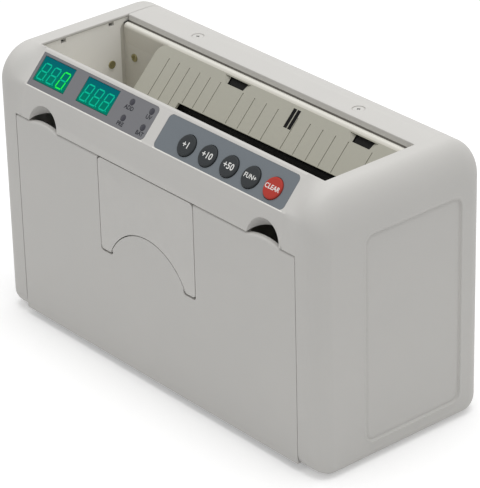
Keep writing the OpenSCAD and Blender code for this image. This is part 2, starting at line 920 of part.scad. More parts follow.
module pocket_liner() {
  x0 = -frame_x - frame_t - pocket_reach;
  x1 = bear_l - fit;
  color("lightgray")
    difference() {
      union() {
        translate([x0, pocket_y, pocket_z + 0.3])
          cube([x1 - x0, pocket_t, rail_p[1] - rail_r - fit - pocket_z - 0.3]);
        translate([-frame_x + fit, front_y + guide_t + fit, pocket_z])
          cube([x1 + frame_x - fit, pocket_y - front_y - guide_t - fit + pocket_t, pocket_t]);
      }
      translate([pocket_screw[0], pocket_y - 1, pocket_screw[1]])
        rotate([-90, 0, 0]) cylinder(r = screw_r + press, h = pocket_t + 2);
      bar_x(pick_c, flange_r + 0.3, bear_l - flange_t - 0.3, bear_l + 1);
    }
}

// Side outline of a bearing plate, under the feed plate and inside the rear cover
module bearing_outline() {
  a = plate_p + 1.4 * [plate_c, plate_s] + (plate_t + fit) * [plate_s, -plate_c];
  b = a - (plate_l - 2) * [plate_c, plate_s];
  back = hd - wall - 1;
  polygon([
    [bear_y, base_z1], [back, base_z1], [back, body_h - top_r - 8], [crossbar_y + 4, body_h - 8],
    [rail_p[0] + rail_r + 3, body_h - 6], [a[0], min(a[1], body_h - 7.2)], b, [b[0], guide_high - 1],
    [bear_y, guide_high - 1]
  ]);
}

// Bearing plate with holes for the bushes and a foot on the base plate
module bearing_plate(x0) {
  difference() {
    union() {
      along_x(x0, x0 + bear_t) bearing_outline();
      translate([x0 - bear_foot, bear_y, base_z1])
        cube([bear_foot + eps, hd - bear_setback - bear_y, bear_t]);
    }
    for (c = [pick_c, feed_c, transport_c]) bar_x(c, bush_r, x0 - 1, x0 + bear_t + 1);
    for (p = base_screw_points())
      translate([p[0], p[1], base_z1 - 1]) cylinder(r = screw_r + press, h = bear_t + 2);
  }
}

module left_bearing_plate() {
  color("silver") bearing_plate(bear_l);
}

module right_bearing_plate() {
  color("silver")
    difference() {
      bearing_plate(bear_r);
      bar_x(motor_c, motor_sr + 1, bear_r - 1, bear_r + bear_t + 1);
      for (a = motor_screw_a)
        translate([bear_r - 1, motor_c[0], motor_c[1]])
          rotate([a, 0, 0]) translate([0, 0, motor_screw_r]) rotate([0, 90, 0])
            cylinder(r = screw_r + press, h = bear_t + 2);
    }
}

module shaft_bushes() {
  color("darkgoldenrod")
    for (c = [pick_c, feed_c, transport_c])
      for (side = [0, 1])
        difference() {
          union() {
            bar_x(c, bush_r, side ? bear_r : bear_l, (side ? bear_r : bear_l) + bear_t);
            bar_x(c, flange_r, side ? bear_r + bear_t : bear_l - flange_t,
              side ? bear_r + bear_t + flange_t : bear_l);
          }
          bar_x(c, shaft_d / 2 + run_fit, shaft_start - 5, shaft_end + 5);
        }
}

module front_note_guide() {
  x0 = -frame_x + fit;
  x1 = frame_x - fit;
  color("#4a4a4a")
    difference() {
      union() {
        along_x(x0, x1)
          polygon([
            [front_y, guide_low], [front_y + guide_t, guide_low], [front_y + guide_t, guide_high],
            [panel_y + 1.2, guide_high + flare_h], [panel_y + 1.2, guide_high + flare_h - 2],
            [front_y, guide_high - 2]
          ]);
        for (x = roller_x, s = [-1, 1]) {
          lx = x + s * (roller_w / 2 + lug_fit + lug_t / 2) - lug_t / 2;
          translate([lx, retard_c[0] - lug_back, retard_c[1] - 5])
            cube([lug_t, front_y - retard_c[0] + lug_back + 0.2, 10]);
          translate([lx, pinch_c[0] - lug_back, pinch_c[1] - 4])
            cube([lug_t, front_y - pinch_c[0] + lug_back + 0.2, 8]);
        }
      }
      for (x = roller_x) {
        roller_cut = roller_w / 2 + lug_fit;
        for (c = [retard_c, pinch_c])
          bar_x(c, pin_d / 2 + 0.03, x - roller_cut - lug_t - 0.4, x + roller_cut + lug_t + 0.4);
        bar_x(retard_c, retard_r + lug_fit, x - roller_cut, x + roller_cut);
        bar_x(pinch_c, pinch_r + lug_fit, x - roller_cut, x + roller_cut);
      }
    }
}

module roller_pins() {
  color("silver")
    for (x = roller_x, c = [retard_c, pinch_c])
      bar_x(c, pin_d / 2, x - roller_w / 2 - lug_fit - lug_t, x + roller_w / 2 + lug_fit + lug_t);
}

// Roller of radius r on a bore of radius b, one at each roller position
module roller_pair(c, r, b) {
  for (x = roller_x)
    difference() {
      bar_x(c, r, x - roller_w / 2, x + roller_w / 2);
      bar_x(c, b, x - roller_w, x + roller_w);
    }
}

module retard_rollers() {
  color("#2a2a2a") roller_pair(retard_c, retard_r, pin_d / 2);
}

module pinch_rollers() {
  color("#d8d8d8") roller_pair(pinch_c, pinch_r, pin_d / 2 + run_fit);
}

module stacker_back_plate() {
  x0 = plate_x0 - bear_t - fit;
  color("#4a4a4a")
    difference() {
      translate([x0, guide_y, floor_z1]) cube([plate_x1 - x0, guide_t, guide_high - floor_z1]);
      for (x = roller_x) {
        roller_cut = roller_w / 2 + guide_fit;
        bar_x(feed_c, feed_r + guide_fit, x - roller_cut, x + roller_cut);
        bar_x(transport_c, transport_r + guide_fit, x - roller_cut, x + roller_cut);
      }
    }
}

module feed_shaft() {
  color("silver") bar_x(feed_c, shaft_d / 2, shaft_start, shaft_end);
}

module feed_rollers() {
  color("#2a2a2a") roller_pair(feed_c, feed_r, shaft_d / 2);
}

module pick_shaft() {
  color("silver") bar_x(pick_c, shaft_d / 2, shaft_start, plane_b - fit);
}

module pick_rollers() {
  color("#2a2a2a") roller_pair(pick_c, pick_r, shaft_d / 2);
}

module transport_shaft() {
  color("silver") bar_x(transport_c, shaft_d / 2, shaft_start, shaft_end);
}

module transport_rollers() {
  color("#2a2a2a") roller_pair(transport_c, transport_r, shaft_d / 2);
}

// Grooved pulley of groove radius r in the plane that starts at x0
module pulley(c, r, x0) {
  bar_x(c, r, x0, x0 + pulley_w);
  bar_x(c, r + rim, x0, x0 + rim_t);
  bar_x(c, r + rim, x0 + pulley_w - rim_t, x0 + pulley_w);
}

module feed_pulley() {
  color("ivory")
    difference() {
      union() {
        pulley(feed_c, pick_pr, plane_a);
        pulley(feed_c, feed_pr, plane_b);
        bar_x(feed_c, pick_pr, plane_a, plane_b + 0.2);
      }
      bar_x(feed_c, shaft_d / 2, plane_a - 1, shaft_end + 1);
    }
}

module pick_pulley() {
  color("ivory")
    difference() {
      pulley(pick_c, pick_pr, plane_a);
      bar_x(pick_c, shaft_d / 2, plane_a - 1, shaft_end + 1);
    }
}

module transport_pulley() {
  color("ivory")
    difference() {
      union() {
        pulley(transport_c, drive_pr, plane_a);
        pulley(transport_c, transport_pr, plane_b);
        bar_x(transport_c, transport_pr, plane_a, plane_b + 0.2);
      }
      bar_x(transport_c, shaft_d / 2, plane_a - 1, shaft_end + 1);
    }
}

module motor_body() {
  color("silver")
    difference() {
      bar_x(motor_c, motor_r, bear_r - fit - motor_l, bear_r - fit);
      bar_x(motor_c, motor_sr + run_fit, bear_r - fit - motor_l + 6, bear_r + 1);
      for (a = motor_screw_a)
        translate([bear_r - 3.2, motor_c[0], motor_c[1]])
          rotate([a, 0, 0]) translate([0, 0, motor_screw_r]) rotate([0, 90, 0])
            cylinder(r = screw_r + press, h = 4);
    }
}

module motor_pulley() {
  color("ivory") {
    bar_x(motor_c, motor_sr, bear_r - motor_l + 8, plane_a + 0.1);
    pulley(motor_c, motor_pr, plane_a);
  }
}

// Loop round two circles, set off by g
module loop(c1, r1, c2, r2, g) {
  d = c2 - c1;
  a = atan2(d[1], d[0]);
  b = acos((r1 - r2) / norm(d));
  n = 24;
  polygon(concat(
    [for (k = [0:n]) tangent(c1, r1 + g, a + b + k * (360 - 2 * b) / n)],
    [for (k = [0:n]) tangent(c2, r2 + g, a - b + k * 2 * b / n)]
  ));
}

// Flat belt round two pulleys in the plane that starts at x0
module belt(c1, r1, c2, r2, x0) {
  along_x(x0 + (pulley_w - belt_w) / 2, x0 + (pulley_w + belt_w) / 2)
    difference() {
      loop(c1, r1, c2, r2, belt_fit + belt_t);
      loop(c1, r1, c2, r2, belt_fit);
    }
}

module pick_belt() {
  color("#202020") belt(pick_c, pick_pr, feed_c, pick_pr, plane_a);
}

module transport_belt() {
  color("#202020") belt(feed_c, feed_pr, transport_c, transport_pr, plane_b);
}

module motor_belt() {
  color("#202020") belt(transport_c, drive_pr, motor_c, motor_pr, plane_a);
}

module main_board() {
  color("darkgreen") {
    translate([board_x0, board_y, board_z[0]])
      cube([board_x1 - board_x0, board_t, board_z[1] - board_z[0]]);
    translate([board_x0 + 32, board_y - chip_h, board_z[0] + chip_w]) cube([chip_w, chip_h + 0.1, chip_w]);
  }
}

module battery_tray() {
  x0 = tray_x - tray_w / 2;
  color("#333333")
    difference() {
      translate([x0, tray_y0, base_z1]) cube([tray_w, tray_y1 - tray_y0, tray_h]);
      translate([x0 + tray_t, tray_y0 + tray_t, base_z1 + tray_t])
        cube([tray_w - 2 * tray_t, tray_y1 - tray_y0, tray_h - 2 * tray_t]);
    }
}

module battery_cells() {
  color("steelblue")
    for (row = [0, 1], sx = [0, 1])
      bar_x([cell_y, cell_z + row * (cell_d + cell_gap)], cell_d / 2,
        tray_x + (sx - 1) * cell_l + (sx - 0.5) * cell_gap, tray_x + sx * cell_l + (sx - 0.5) * cell_gap);
}

module battery_contacts() {
  x = tray_w / 2 - tray_t;
  color("silver")
    for (s = [-1, 1])
      translate([tray_x + s * (x - contact_t / 2) - contact_t / 2, cell_y - contact_y, cell_z - contact_y])
        cube([contact_t, 2 * contact_y, cell_d + 2 * contact_y]);
}

module battery_door() {
  x = hatch_x - fit;
  color("gainsboro")
    difference() {
      translate([tray_x - x, hd - wall, hatch_z[0] + fit])
        cube([2 * x, wall, hatch_z[1] - hatch_z[0] - 2 * fit]);
      for (k = [0:4])
        translate([tray_x - 12, hd - 0.6, hatch_z[1] - 12 + k * 2]) cube([24, 1, 0.8]);
    }
}

module dc_jack() {
  color("#1a1a1a")
    difference() {
      translate([jack_p[0] - jack_w / 2, hd - port_back - jack_l, jack_p[1] - jack_h / 2])
        cube([jack_w, jack_l, jack_h]);
      translate([jack_p[0], hd - port_back - jack_deep, jack_p[1]])
        rotate([-90, 0, 0])
          difference() {
            cylinder(r = jack_r, h = jack_deep + 1);
            translate([0, 0, -1]) cylinder(r = jack_pin_r, h = jack_deep - 0.6);
          }
    }
}

module power_switch_body() {
  color("#1a1a1a")
    difference() {
      translate([switch_p[0] - switch_w / 2, hd - port_back - switch_l, switch_p[1] - switch_h / 2])
        cube([switch_w, switch_l, switch_h]);
      translate([switch_p[0] - well_w / 2, hd - port_back - well_deep, switch_p[1] - well_h / 2])
        cube([well_w, well_deep + 1, well_h]);
      translate([switch_p[0], rocker_y, switch_p[1]])
        rotate([0, 90, 0]) cylinder(r = pivot_r + run_fit, h = pivot_l + 0.6, center = true);
    }
}

module power_rocker() {
  color("#101010")
    translate([switch_p[0], rocker_y, switch_p[1]])
      rotate([-rocker_a, 0, 0]) {
        rotate([90, 0, 90])
          linear_extrude(rocker_w, center = true)
            polygon([[-2, -3.2], [2.6, -6.4], [2.1, 0], [2.6, 6.4], [-2, 3.2]]);
        rotate([0, 90, 0]) cylinder(r = pivot_r, h = pivot_l, center = true);
      }
}

// Outline of the flap grown by g: two lobes with a finger arch between them
module flap_outline(g, top) {
  x0 = flap_x - flap_w / 2 - g;
  difference() {
    translate([x0, flap_z - g]) square([flap_w + 2 * g, top - flap_z + g]);
    translate([flap_x, arch_z]) circle(r = arch_r - g, $fn = 128);
    corner_nib([x0, flap_z - g], -1, -1, lobe_r + g);
    corner_nib([x0 + flap_w + 2 * g, flap_z - g], 1, -1, lobe_r + g);
  }
}

module front_door() {
  color("gainsboro")
    difference() {
      union() {
        translate([-door_x, -hd, door_z0]) cube([2 * door_x, door_t, door_z1 - door_z0]);
        for (s = [-1, 1])
          along_y(-hd, -hd + door_t)
            translate([s * scoop_x, door_z1])
              intersection() {
                translate([0, grip_rise - grip_r]) circle(r = grip_r);
                translate([-grip_w / 2, -1]) square([grip_w, grip_rise + 1]);
              }
        for (s = [-1, 1]) {
          x0 = s > 0 ? door_x - ear_t : -door_x;
          bar_x(hinge_c, ear_r, x0, x0 + ear_t);
          translate([x0, -hd + door_t - eps, hinge_c[1] - ear_r])
            cube([ear_t, hinge_c[0] + hd - door_t + eps, 2 * ear_r]);
          translate([x0, -hd + door_t - eps, hinge_c[1]])
            cube([ear_t, door_flange + eps, door_z1 - hinge_c[1]]);
        }
      }
      along_y(-hd - 1, -hd + door_t + 1) flap_outline(flap_gap, door_z1 + 1);
      for (s = [-1, 1])
        translate([flap_x + s * (relief_x + relief_w / 2), -hd, flap_z - flap_gap])
          along_y(-1, door_t + 1)
            translate([-relief_w / 2, 0]) square([relief_w, relief_z - flap_z + flap_gap]);
      bar_x(flap_c, trunnion_r + run_fit, flap_x - flap_w / 2 - trunnion_l - trunnion_end,
        flap_x + flap_w / 2 + trunnion_l + trunnion_end);
      bar_x(hinge_c, hinge_d / 2, -hw, hw);
    }
}

module door_hinge_pins() {
  color("silver")
    for (s = [-1, 1])
      bar_x(hinge_c, hinge_d / 2, s > 0 ? door_x - ear_t : -frame_x - frame_t + 0.2,
        s > 0 ? frame_x + frame_t - 0.2 : -door_x + ear_t);
}

module door_flap() {
  color("gainsboro") {
    intersection() {
      along_y(-hd, -hd + door_t)
        difference() {
          flap_outline(0, door_z1);
          for (s = [-1, 1]) corner_nib([flap_x + s * flap_w / 2, door_z1], s, 1, flap_top_r);
        }
      union() {
        translate([-hw, -hd - 1, flap_c[1]]) cube([body_w, door_t + 2, body_h]);
        bar_x(flap_c, door_t / 2, -hw, hw);
      }
    }
    for (s = [-1, 1]) {
      inner = flap_x + s * (relief_x - trunnion_l);
      outer = flap_x + s * (flap_w / 2 + trunnion_l);
      bar_x(flap_c, trunnion_r, min(inner, outer), max(inner, outer));
    }
  }
}

left_end_casing();
right_end_casing();
left_side_frame();
right_side_frame();
base_plate();
rubber_feet();
rear_cover();
rear_cover_screws();
case_screws();
top_crossbar();
control_panel();
display_label();
keypad_label();
count_display();
preset_display();
indicator_leds();
control_board();
key_switches();
feed_plate();
hopper_sensor();
sensor_bar();
pocket_liner();
left_bearing_plate();
right_bearing_plate();
shaft_bushes();
front_note_guide();
roller_pins();
retard_rollers();
stacker_back_plate();
motor_body();
pick_belt();
transport_belt();
motor_belt();
main_board();
battery_tray();
battery_cells();
battery_contacts();
dc_jack();
power_switch_body();
front_door();
door_hinge_pins();
door_flap();
button_add_one();
button_add_ten();
button_add_fifty();
button_function();
button_clear();
power_rocker();
battery_door();
feed_shaft();
feed_rollers();
feed_pulley();
pick_shaft();
pick_rollers();
pick_pulley();
transport_shaft();
transport_rollers();
transport_pulley();
motor_pulley();
pinch_rollers();
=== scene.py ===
"""Looks of a portable banknote counter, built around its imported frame.

Sizes are in millimetres and are turned into metres where a mesh is made.
"""
import json
import logging
import math
from dataclasses import dataclass, field
from enum import Enum
from typing import Callable, ClassVar, Iterable, Mapping, Sequence

import bmesh
import bpy
from mathutils import Matrix, Vector, geometry

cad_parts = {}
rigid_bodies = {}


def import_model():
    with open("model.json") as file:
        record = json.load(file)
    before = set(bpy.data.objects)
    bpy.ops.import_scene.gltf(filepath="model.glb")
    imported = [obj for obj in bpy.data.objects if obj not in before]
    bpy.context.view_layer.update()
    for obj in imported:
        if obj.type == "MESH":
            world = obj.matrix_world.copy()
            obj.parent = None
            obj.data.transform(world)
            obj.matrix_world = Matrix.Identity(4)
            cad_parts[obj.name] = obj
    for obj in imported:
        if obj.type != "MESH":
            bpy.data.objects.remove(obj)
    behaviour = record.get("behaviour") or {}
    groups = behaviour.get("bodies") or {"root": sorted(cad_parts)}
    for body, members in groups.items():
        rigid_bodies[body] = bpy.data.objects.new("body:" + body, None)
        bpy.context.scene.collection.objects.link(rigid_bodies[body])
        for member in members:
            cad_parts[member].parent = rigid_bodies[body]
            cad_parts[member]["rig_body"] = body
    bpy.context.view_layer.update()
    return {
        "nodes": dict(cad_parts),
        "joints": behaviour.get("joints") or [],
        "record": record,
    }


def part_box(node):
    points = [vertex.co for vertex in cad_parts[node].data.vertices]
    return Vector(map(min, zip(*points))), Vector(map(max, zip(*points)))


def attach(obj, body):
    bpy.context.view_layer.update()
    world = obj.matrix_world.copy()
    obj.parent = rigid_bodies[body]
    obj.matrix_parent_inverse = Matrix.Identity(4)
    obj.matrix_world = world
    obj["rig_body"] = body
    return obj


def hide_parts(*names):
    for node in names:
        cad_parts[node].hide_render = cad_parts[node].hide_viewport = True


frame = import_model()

MM = 0.001
AXIS = 0.01  # radius of the small ring that closes a turned form
TOUCH = 0.02  # distance within which two places count as one
QUARTER = math.pi / 2
LOG = logging.getLogger("banknote_counter")

Point = tuple[float, float]
Spot = tuple[float, float, float]
Colour = tuple[float, float, float]
Ring = list[bmesh.types.BMVert]
Sockets = Mapping[str, bpy.types.NodeSocket]
Feed = float | Vector | Colour | bpy.types.NodeSocket
Place = Callable[[float, float, float], Vector]

GREY: Colour = (0.5, 0.5, 0.5)
WHITE: Colour = (1.0, 1.0, 1.0)


def srgb(red: int, green: int, blue: int) -> Colour:
    """Turns an 8-bit display colour into the linear colour that a shader takes.

    Args:
        red: Red from 0 to 255.
        green: Green from 0 to 255.
        blue: Blue from 0 to 255.

    Returns:
        The linear colour.
    """
    def linear(level: int) -> float:
        """Linear value of one 8-bit level."""
        share = level / 255
        return share / 12.92 if share <= 0.04045 else ((share + 0.055) / 1.055) ** 2.4

    return linear(red), linear(green), linear(blue)


class Body(str, Enum):
    """Bodies of the frame that pieces ride on."""

    HOUSING = "housing"
    DOOR = "door"
    FLAP = "flap"
    KEY_ADD_ONE = "key_add_one"
    KEY_ADD_TEN = "key_add_ten"
    KEY_ADD_FIFTY = "key_add_fifty"
    KEY_FUNCTION = "key_function"
    KEY_CLEAR = "key_clear"
    ROCKER = "switch_rocker"
    HATCH = "battery_hatch"


class Side(Enum):
    """The two ends of the machine, as the sign of X."""

    LEFT = -1
    RIGHT = 1


class Digit(Enum):
    """How one digit of a display shows, as the lit segments among abcdefg."""

    UNLIT = ""
    ZERO = "abcdef"


class Effect(str, Enum):
    """Shader node groups that several finishes share."""

    GRAIN = "moulded_grain"
    TONE = "surface_tone"
    WEAR = "edge_wear"
    BRUSH = "brushed_lines"
    FADE = "height_fade"


class Wiring:
    """A shader node tree in the making."""

    def __init__(self, tree: bpy.types.NodeTree) -> None:
        """Takes over a tree."""
        self.tree = tree

    def node(
        self,
        kind: str,
        feeds: Mapping[str | int, Feed] | None = None,
        **settings: str | bpy.types.NodeTree,
    ) -> bpy.types.Node:
        """Adds a node.

        Args:
            kind: Its type, without the leading ShaderNode.
            feeds: Value or source of inputs by name or number.
            **settings: Its own properties, set before the inputs.

        Returns:
            The new node.
        """
        node = self.tree.nodes.new("ShaderNode" + kind)
        for label, value in settings.items():
            setattr(node, label, value)
        self.feed(node, feeds or {})
        return node

    def feed(self, node: bpy.types.Node, feeds: Mapping[str | int, Feed]) -> None:
        """Sets inputs of a node or links them to their sources.

        Args:
            node: The node.
            feeds: Value or source of inputs by name or number; a tuple is a colour.
        """
        for label, value in feeds.items():
            socket = node.inputs[label]
            if isinstance(value, bpy.types.NodeSocket):
                self.tree.links.new(value, socket)
            else:
                socket.default_value = (*value, 1.0) if isinstance(value, tuple) else value

    def maths(self, kind: str, first: Feed, second: Feed) -> bpy.types.NodeSocket:
        """Result of a maths operation on two values or sources."""
        return self.node("Math", {0: first, 1: second}, operation=kind).outputs[0]

    def mix(self, share: Feed, first: Feed, second: Feed) -> bpy.types.NodeSocket:
        """Mix of two colours by the share of the second one."""
        feeds = {"Factor": share, "A": first, "B": second}
        return self.node("Mix", feeds, data_type="RGBA").outputs["Result"]

    def ramp(self, value: Feed, low: Feed, high: Feed) -> bpy.types.NodeSocket:
        """Value brought from the range between low and high to the range from 0 to 1."""
        feeds = {"Value": value, "From Min": low, "From Max": high}
        return self.node("MapRange", feeds).outputs["Result"]

    def place(self, **change: Vector) -> bpy.types.NodeSocket:
        """Adds object coordinates.

        Args:
            **change: Scale or rotation of the coordinates, if any.

        Returns:
            The coordinates.
        """
        place = self.node("TexCoord").outputs["Object"]
        if change:
            place = self.node("Mapping", {"Vector": place, **change}).outputs["Vector"]
        return place

    def noise(
        self, scale: Feed, detail: float, roughness: float, **change: Vector
    ) -> bpy.types.NodeSocket:
        """Adds a noise texture on object coordinates.

        Args:
            scale: Fineness of the noise.
            detail: Octaves of the noise.
            roughness: Weight of the finer octaves.
            **change: Scale or rotation of the coordinates, if any.

        Returns:
            The noise from 0 to 1.
        """
        feeds = {"Scale": scale, "Detail": detail, "Roughness": roughness}
        return self.node("TexNoise", {"Vector": self.place(**change), **feeds}).outputs["Fac"]


class Effects:
    """Builds each shared shader node group once."""

    inputs: ClassVar[dict[Effect, dict[str, float | Colour]]] = {
        Effect.GRAIN: {"Scale": 2600.0, "Roughness": 0.5, "Spread": 0.08},
        Effect.TONE: {"Colour": GREY, "Second": GREY, "Scale": 30.0, "Amount": 0.5},
        Effect.WEAR: {"Colour": GREY, "Worn": GREY, "Grime": GREY, "Amount": 0.4},
        Effect.BRUSH: {"Scale": 900.0, "Roughness": 0.3, "Spread": 0.12},
        Effect.FADE: {"Lower": GREY, "Upper": GREY, "Low": 0.0, "High": 1.0},
    }
    wear_bends: ClassVar[dict[str, Point]] = {"Worn": (0.57, 0.66), "Grime": (0.43, 0.34)}
    wear_scale: ClassVar[float] = 180.0
    cloud_share: ClassVar[float] = 0.03
    brush_stretch: ClassVar[Vector] = Vector((1.0, 0.06, 0.06))

    @classmethod
    def group(cls, effect: Effect) -> bpy.types.NodeTree:
        """Finds or builds a node group.

        Args:
            effect: The effect wanted.

        Returns:
            Its node group.
        """
        made = bpy.data.node_groups.get(effect.value)
        if made is not None:
            return made
        tree = bpy.data.node_groups.new(effect.value, "ShaderNodeTree")
        for label, default in cls.inputs[effect].items():
            colour = isinstance(default, tuple)
            socket = cls._socket(tree, label, "INPUT", colour)
            socket.default_value = (*default, 1.0) if colour else default
        build = {
            Effect.GRAIN: cls._grain,
            Effect.TONE: cls._tone,
            Effect.WEAR: cls._wear,
            Effect.BRUSH: cls._brush,
            Effect.FADE: cls._fade,
        }[effect]
        results = build(Wiring(tree), tree.nodes.new("NodeGroupInput").outputs)
        for label, source in results.items():
            cls._socket(tree, label, "OUTPUT", source.type == "RGBA")
        end = tree.nodes.new("NodeGroupOutput")
        for label, source in results.items():
            tree.links.new(source, end.inputs[label])
        return tree

    @staticmethod
    def _socket(
        tree: bpy.types.NodeTree, label: str, way: str, colour: bool
    ) -> bpy.types.NodeTreeInterfaceSocket:
        """Adds a socket for a colour or a number to a group."""
        kind = "NodeSocketColor" if colour else "NodeSocketFloat"
        return tree.interface.new_socket(label, in_out=way, socket_type=kind)

    @staticmethod
    def _swing(wiring: Wiring, noise: bpy.types.NodeSocket, given: Sockets) -> bpy.types.NodeSocket:
        """Lets the roughness swing with a noise.

        Args:
            wiring: Tree of the group.
            noise: Noise from 0 to 1.
            given: Inputs of the group, with the middle roughness and its spread.

        Returns:
            The roughness.
        """
        centred = wiring.maths("SUBTRACT", noise, 0.5)
        half_swing = wiring.maths("MULTIPLY", centred, given["Spread"])
        swing = wiring.maths("MULTIPLY", half_swing, 2.0)
        return wiring.maths("ADD", swing, given["Roughness"])

    @classmethod
    def _grain(cls, wiring: Wiring, given: Sockets) -> Sockets:
        """Fine pitted grain of a moulded surface, with cloudy roughness.

        Args:
            wiring: Tree of the group.
            given: Inputs of the group.

        Returns:
            Sources of the group's outputs.
        """
        fine = wiring.noise(given["Scale"], detail=3.0, roughness=0.6)
        clouds = wiring.maths("MULTIPLY", given["Scale"], cls.cloud_share)
        broad = wiring.noise(clouds, detail=4.0, roughness=0.55)
        return {"Height": fine, "Roughness": cls._swing(wiring, broad, given)}

    @classmethod
    def _brush(cls, wiring: Wiring, given: Sockets) -> Sockets:
        """Fine lines round a turned or drawn metal piece that lies along X."""
        lines = wiring.noise(given["Scale"], detail=4.0, roughness=0.5, Scale=cls.brush_stretch)
        return {"Height": lines, "Roughness": cls._swing(wiring, lines, given)}

    @staticmethod
    def _tone(wiring: Wiring, given: Sockets) -> Sockets:
        """Slow drift of a colour between itself and a second tone.

        Args:
            wiring: Tree of the group.
            given: Inputs of the group.

        Returns:
            Sources of the group's outputs.
        """
        clouds = wiring.noise(given["Scale"], detail=5.0, roughness=0.6)
        share = wiring.maths("MULTIPLY", clouds, given["Amount"])
        return {"Colour": wiring.mix(share, given["Colour"], given["Second"])}

    @classmethod
    def _wear(cls, wiring: Wiring, given: Sockets) -> Sockets:
        """Worn colour on edges and a darker colour in hollows, broken up by noise.

        Args:
            wiring: Tree of the group.
            given: Inputs of the group.

        Returns:
            Sources of the group's outputs.
        """
        bend = wiring.node("NewGeometry").outputs["Pointiness"]
        noise = wiring.noise(cls.wear_scale, detail=6.0, roughness=0.65)
        colour = given["Colour"]
        for label, (low, high) in cls.wear_bends.items():
            broken = wiring.maths("MULTIPLY", wiring.ramp(bend, low, high), noise)
            mask = wiring.maths("MULTIPLY", broken, given["Amount"])
            colour = wiring.mix(mask, colour, given[label])
        return {"Colour": colour}

    @staticmethod
    def _fade(wiring: Wiring, given: Sockets) -> Sockets:
        """Fade from a lower to an upper colour between two heights.

        Args:
            wiring: Tree of the group.
            given: Inputs of the group.

        Returns:
            Sources of the group's outputs.
        """
        height = wiring.node("SeparateXYZ", {"Vector": wiring.place()}).outputs["Z"]
        share = wiring.ramp(height, given["Low"], given["High"])
        return {"Colour": wiring.mix(share, given["Lower"], given["Upper"])}


class Desk(Wiring):
    """Node tree of one material while it is being wired."""

    def __init__(self, name: str) -> None:
        """Starts a material with a Principled shader.

        Args:
            name: Name of the material.
        """
        self.material = bpy.data.materials.new(name)
        self.material.use_nodes = True
        super().__init__(self.material.node_tree)
        self.tree.nodes.clear()
        self.shader = self.node("BsdfPrincipled")
        self.node("OutputMaterial", {"Surface": self.shader.outputs["BSDF"]})

    def set(self, **values: Feed) -> None:
        """Sets or links inputs of the shader; underscores in a name stand for spaces."""
        self.feed(self.shader, {label.replace("_", " "): value for label, value in values.items()})

    def effect(self, effect: Effect, **values: Feed) -> Sockets:
        """Places a shared effect with this material's own values and gives its outputs."""
        return self.node("Group", values, node_tree=Effects.group(effect)).outputs

    def tone(self, colour: Colour, second: Colour, scale: float, amount: float) -> bpy.types.NodeSocket:
        """Colour that drifts slowly towards a second tone."""
        feeds = {"Colour": colour, "Second": second, "Scale": scale, "Amount": amount}
        return self.effect(Effect.TONE, **feeds)["Colour"]

    def grain(
        self, scale: float, roughness: float, spread: float, depth: float, kind: Effect = Effect.GRAIN
    ) -> None:
        """Gives the surface its roughness and relief.

        Args:
            scale: Fineness of the grain.
            roughness: Middle roughness.
            spread: How far the roughness swings.
            depth: Height of the relief in millimetres, or zero for none.
            kind: A pitted or a brushed grain.
        """
        grain = self.effect(kind, Scale=scale, Roughness=roughness, Spread=spread)
        self.set(Roughness=grain["Roughness"])
        if depth:
            relief = {"Strength": 1.0, "Distance": depth * MM, "Height": grain["Height"]}
            self.set(Normal=self.node("Bump", relief).outputs["Normal"])


class Finish:
    """What every finish shares: a name, and a material that is built once."""

    name: str

    def material(self) -> bpy.types.Material:
        """Finds or builds the material, under a name that no material of the frame has.

        Returns:
            The material.
        """
        label = f"{self.name}_finish"
        made = bpy.data.materials.get(label)
        if made is None:
            desk = Desk(label)
            self._wire(desk)
            made = desk.material
        return made

    def _wire(self, desk: Desk) -> None:
        """Wires the material."""
        raise NotImplementedError


@dataclass(frozen=True)
class MouldedPlastic(Finish):
    """Moulded plastic with a pitted grain, a slow drift of tone and light edge wear."""

    name: str
    colour: Colour
    second: Colour
    roughness: float = 0.5
    grain: float = 2600.0
    depth: float = 0.006
    wear: float = 0.25
    gloss: float = 0.25
    index: float = 1.46
    paler: float = 1.25
    darker: float = 0.55
    drift: Point = (26.0, 0.7)

    def _wire(self, desk: Desk) -> None:
        """Wires the material.

        Args:
            desk: Nodes of the material.
        """
        tone = desk.tone(self.colour, self.second, *self.drift)
        pale = tuple(min(1.0, self.paler * level) for level in self.colour)
        dark = tuple(self.darker * level for level in self.colour)
        worn = desk.effect(Effect.WEAR, Colour=tone, Worn=pale, Grime=dark, Amount=self.wear)
        desk.set(Base_Color=worn["Colour"], Specular_IOR_Level=self.gloss, IOR=self.index)
        desk.grain(self.grain, self.roughness, spread=0.1, depth=self.depth)


@dataclass(frozen=True)
class Rubber(Finish):
    """Black rubber with a dusty bloom on its edges."""

    name: str
    colour: Colour
    bloom: Colour
    roughness: float = 0.75
    grain: float = 3600.0
    depth: float = 0.02
    wear: float = 0.6
    drift: Point = (120.0, 0.5)

    def _wire(self, desk: Desk) -> None:
        """Wires the material.

        Args:
            desk: Nodes of the material.
        """
        tone = desk.tone(self.colour, self.bloom, *self.drift)
        worn = desk.effect(
            Effect.WEAR, Colour=tone, Worn=self.bloom, Grime=self.colour, Amount=self.wear
        )
        desk.set(Base_Color=worn["Colour"], Specular_IOR_Level=0.1)
        desk.grain(self.grain, self.roughness, spread=0.12, depth=self.depth)


@dataclass(frozen=True)
class Metal(Finish):
    """Drawn, turned or plated metal with fine lines and a faint drift of tone."""

    name: str
    colour: Colour
    second: Colour
    roughness: float = 0.32
    lines: float = 900.0
    depth: float = 0.004
    drift: Point = (160.0, 0.8)

    def _wire(self, desk: Desk) -> None:
        """Wires the material."""
        desk.set(Base_Color=desk.tone(self.colour, self.second, *self.drift), Metallic=1.0)
        desk.grain(self.lines, self.roughness, spread=0.16, depth=self.depth, kind=Effect.BRUSH)


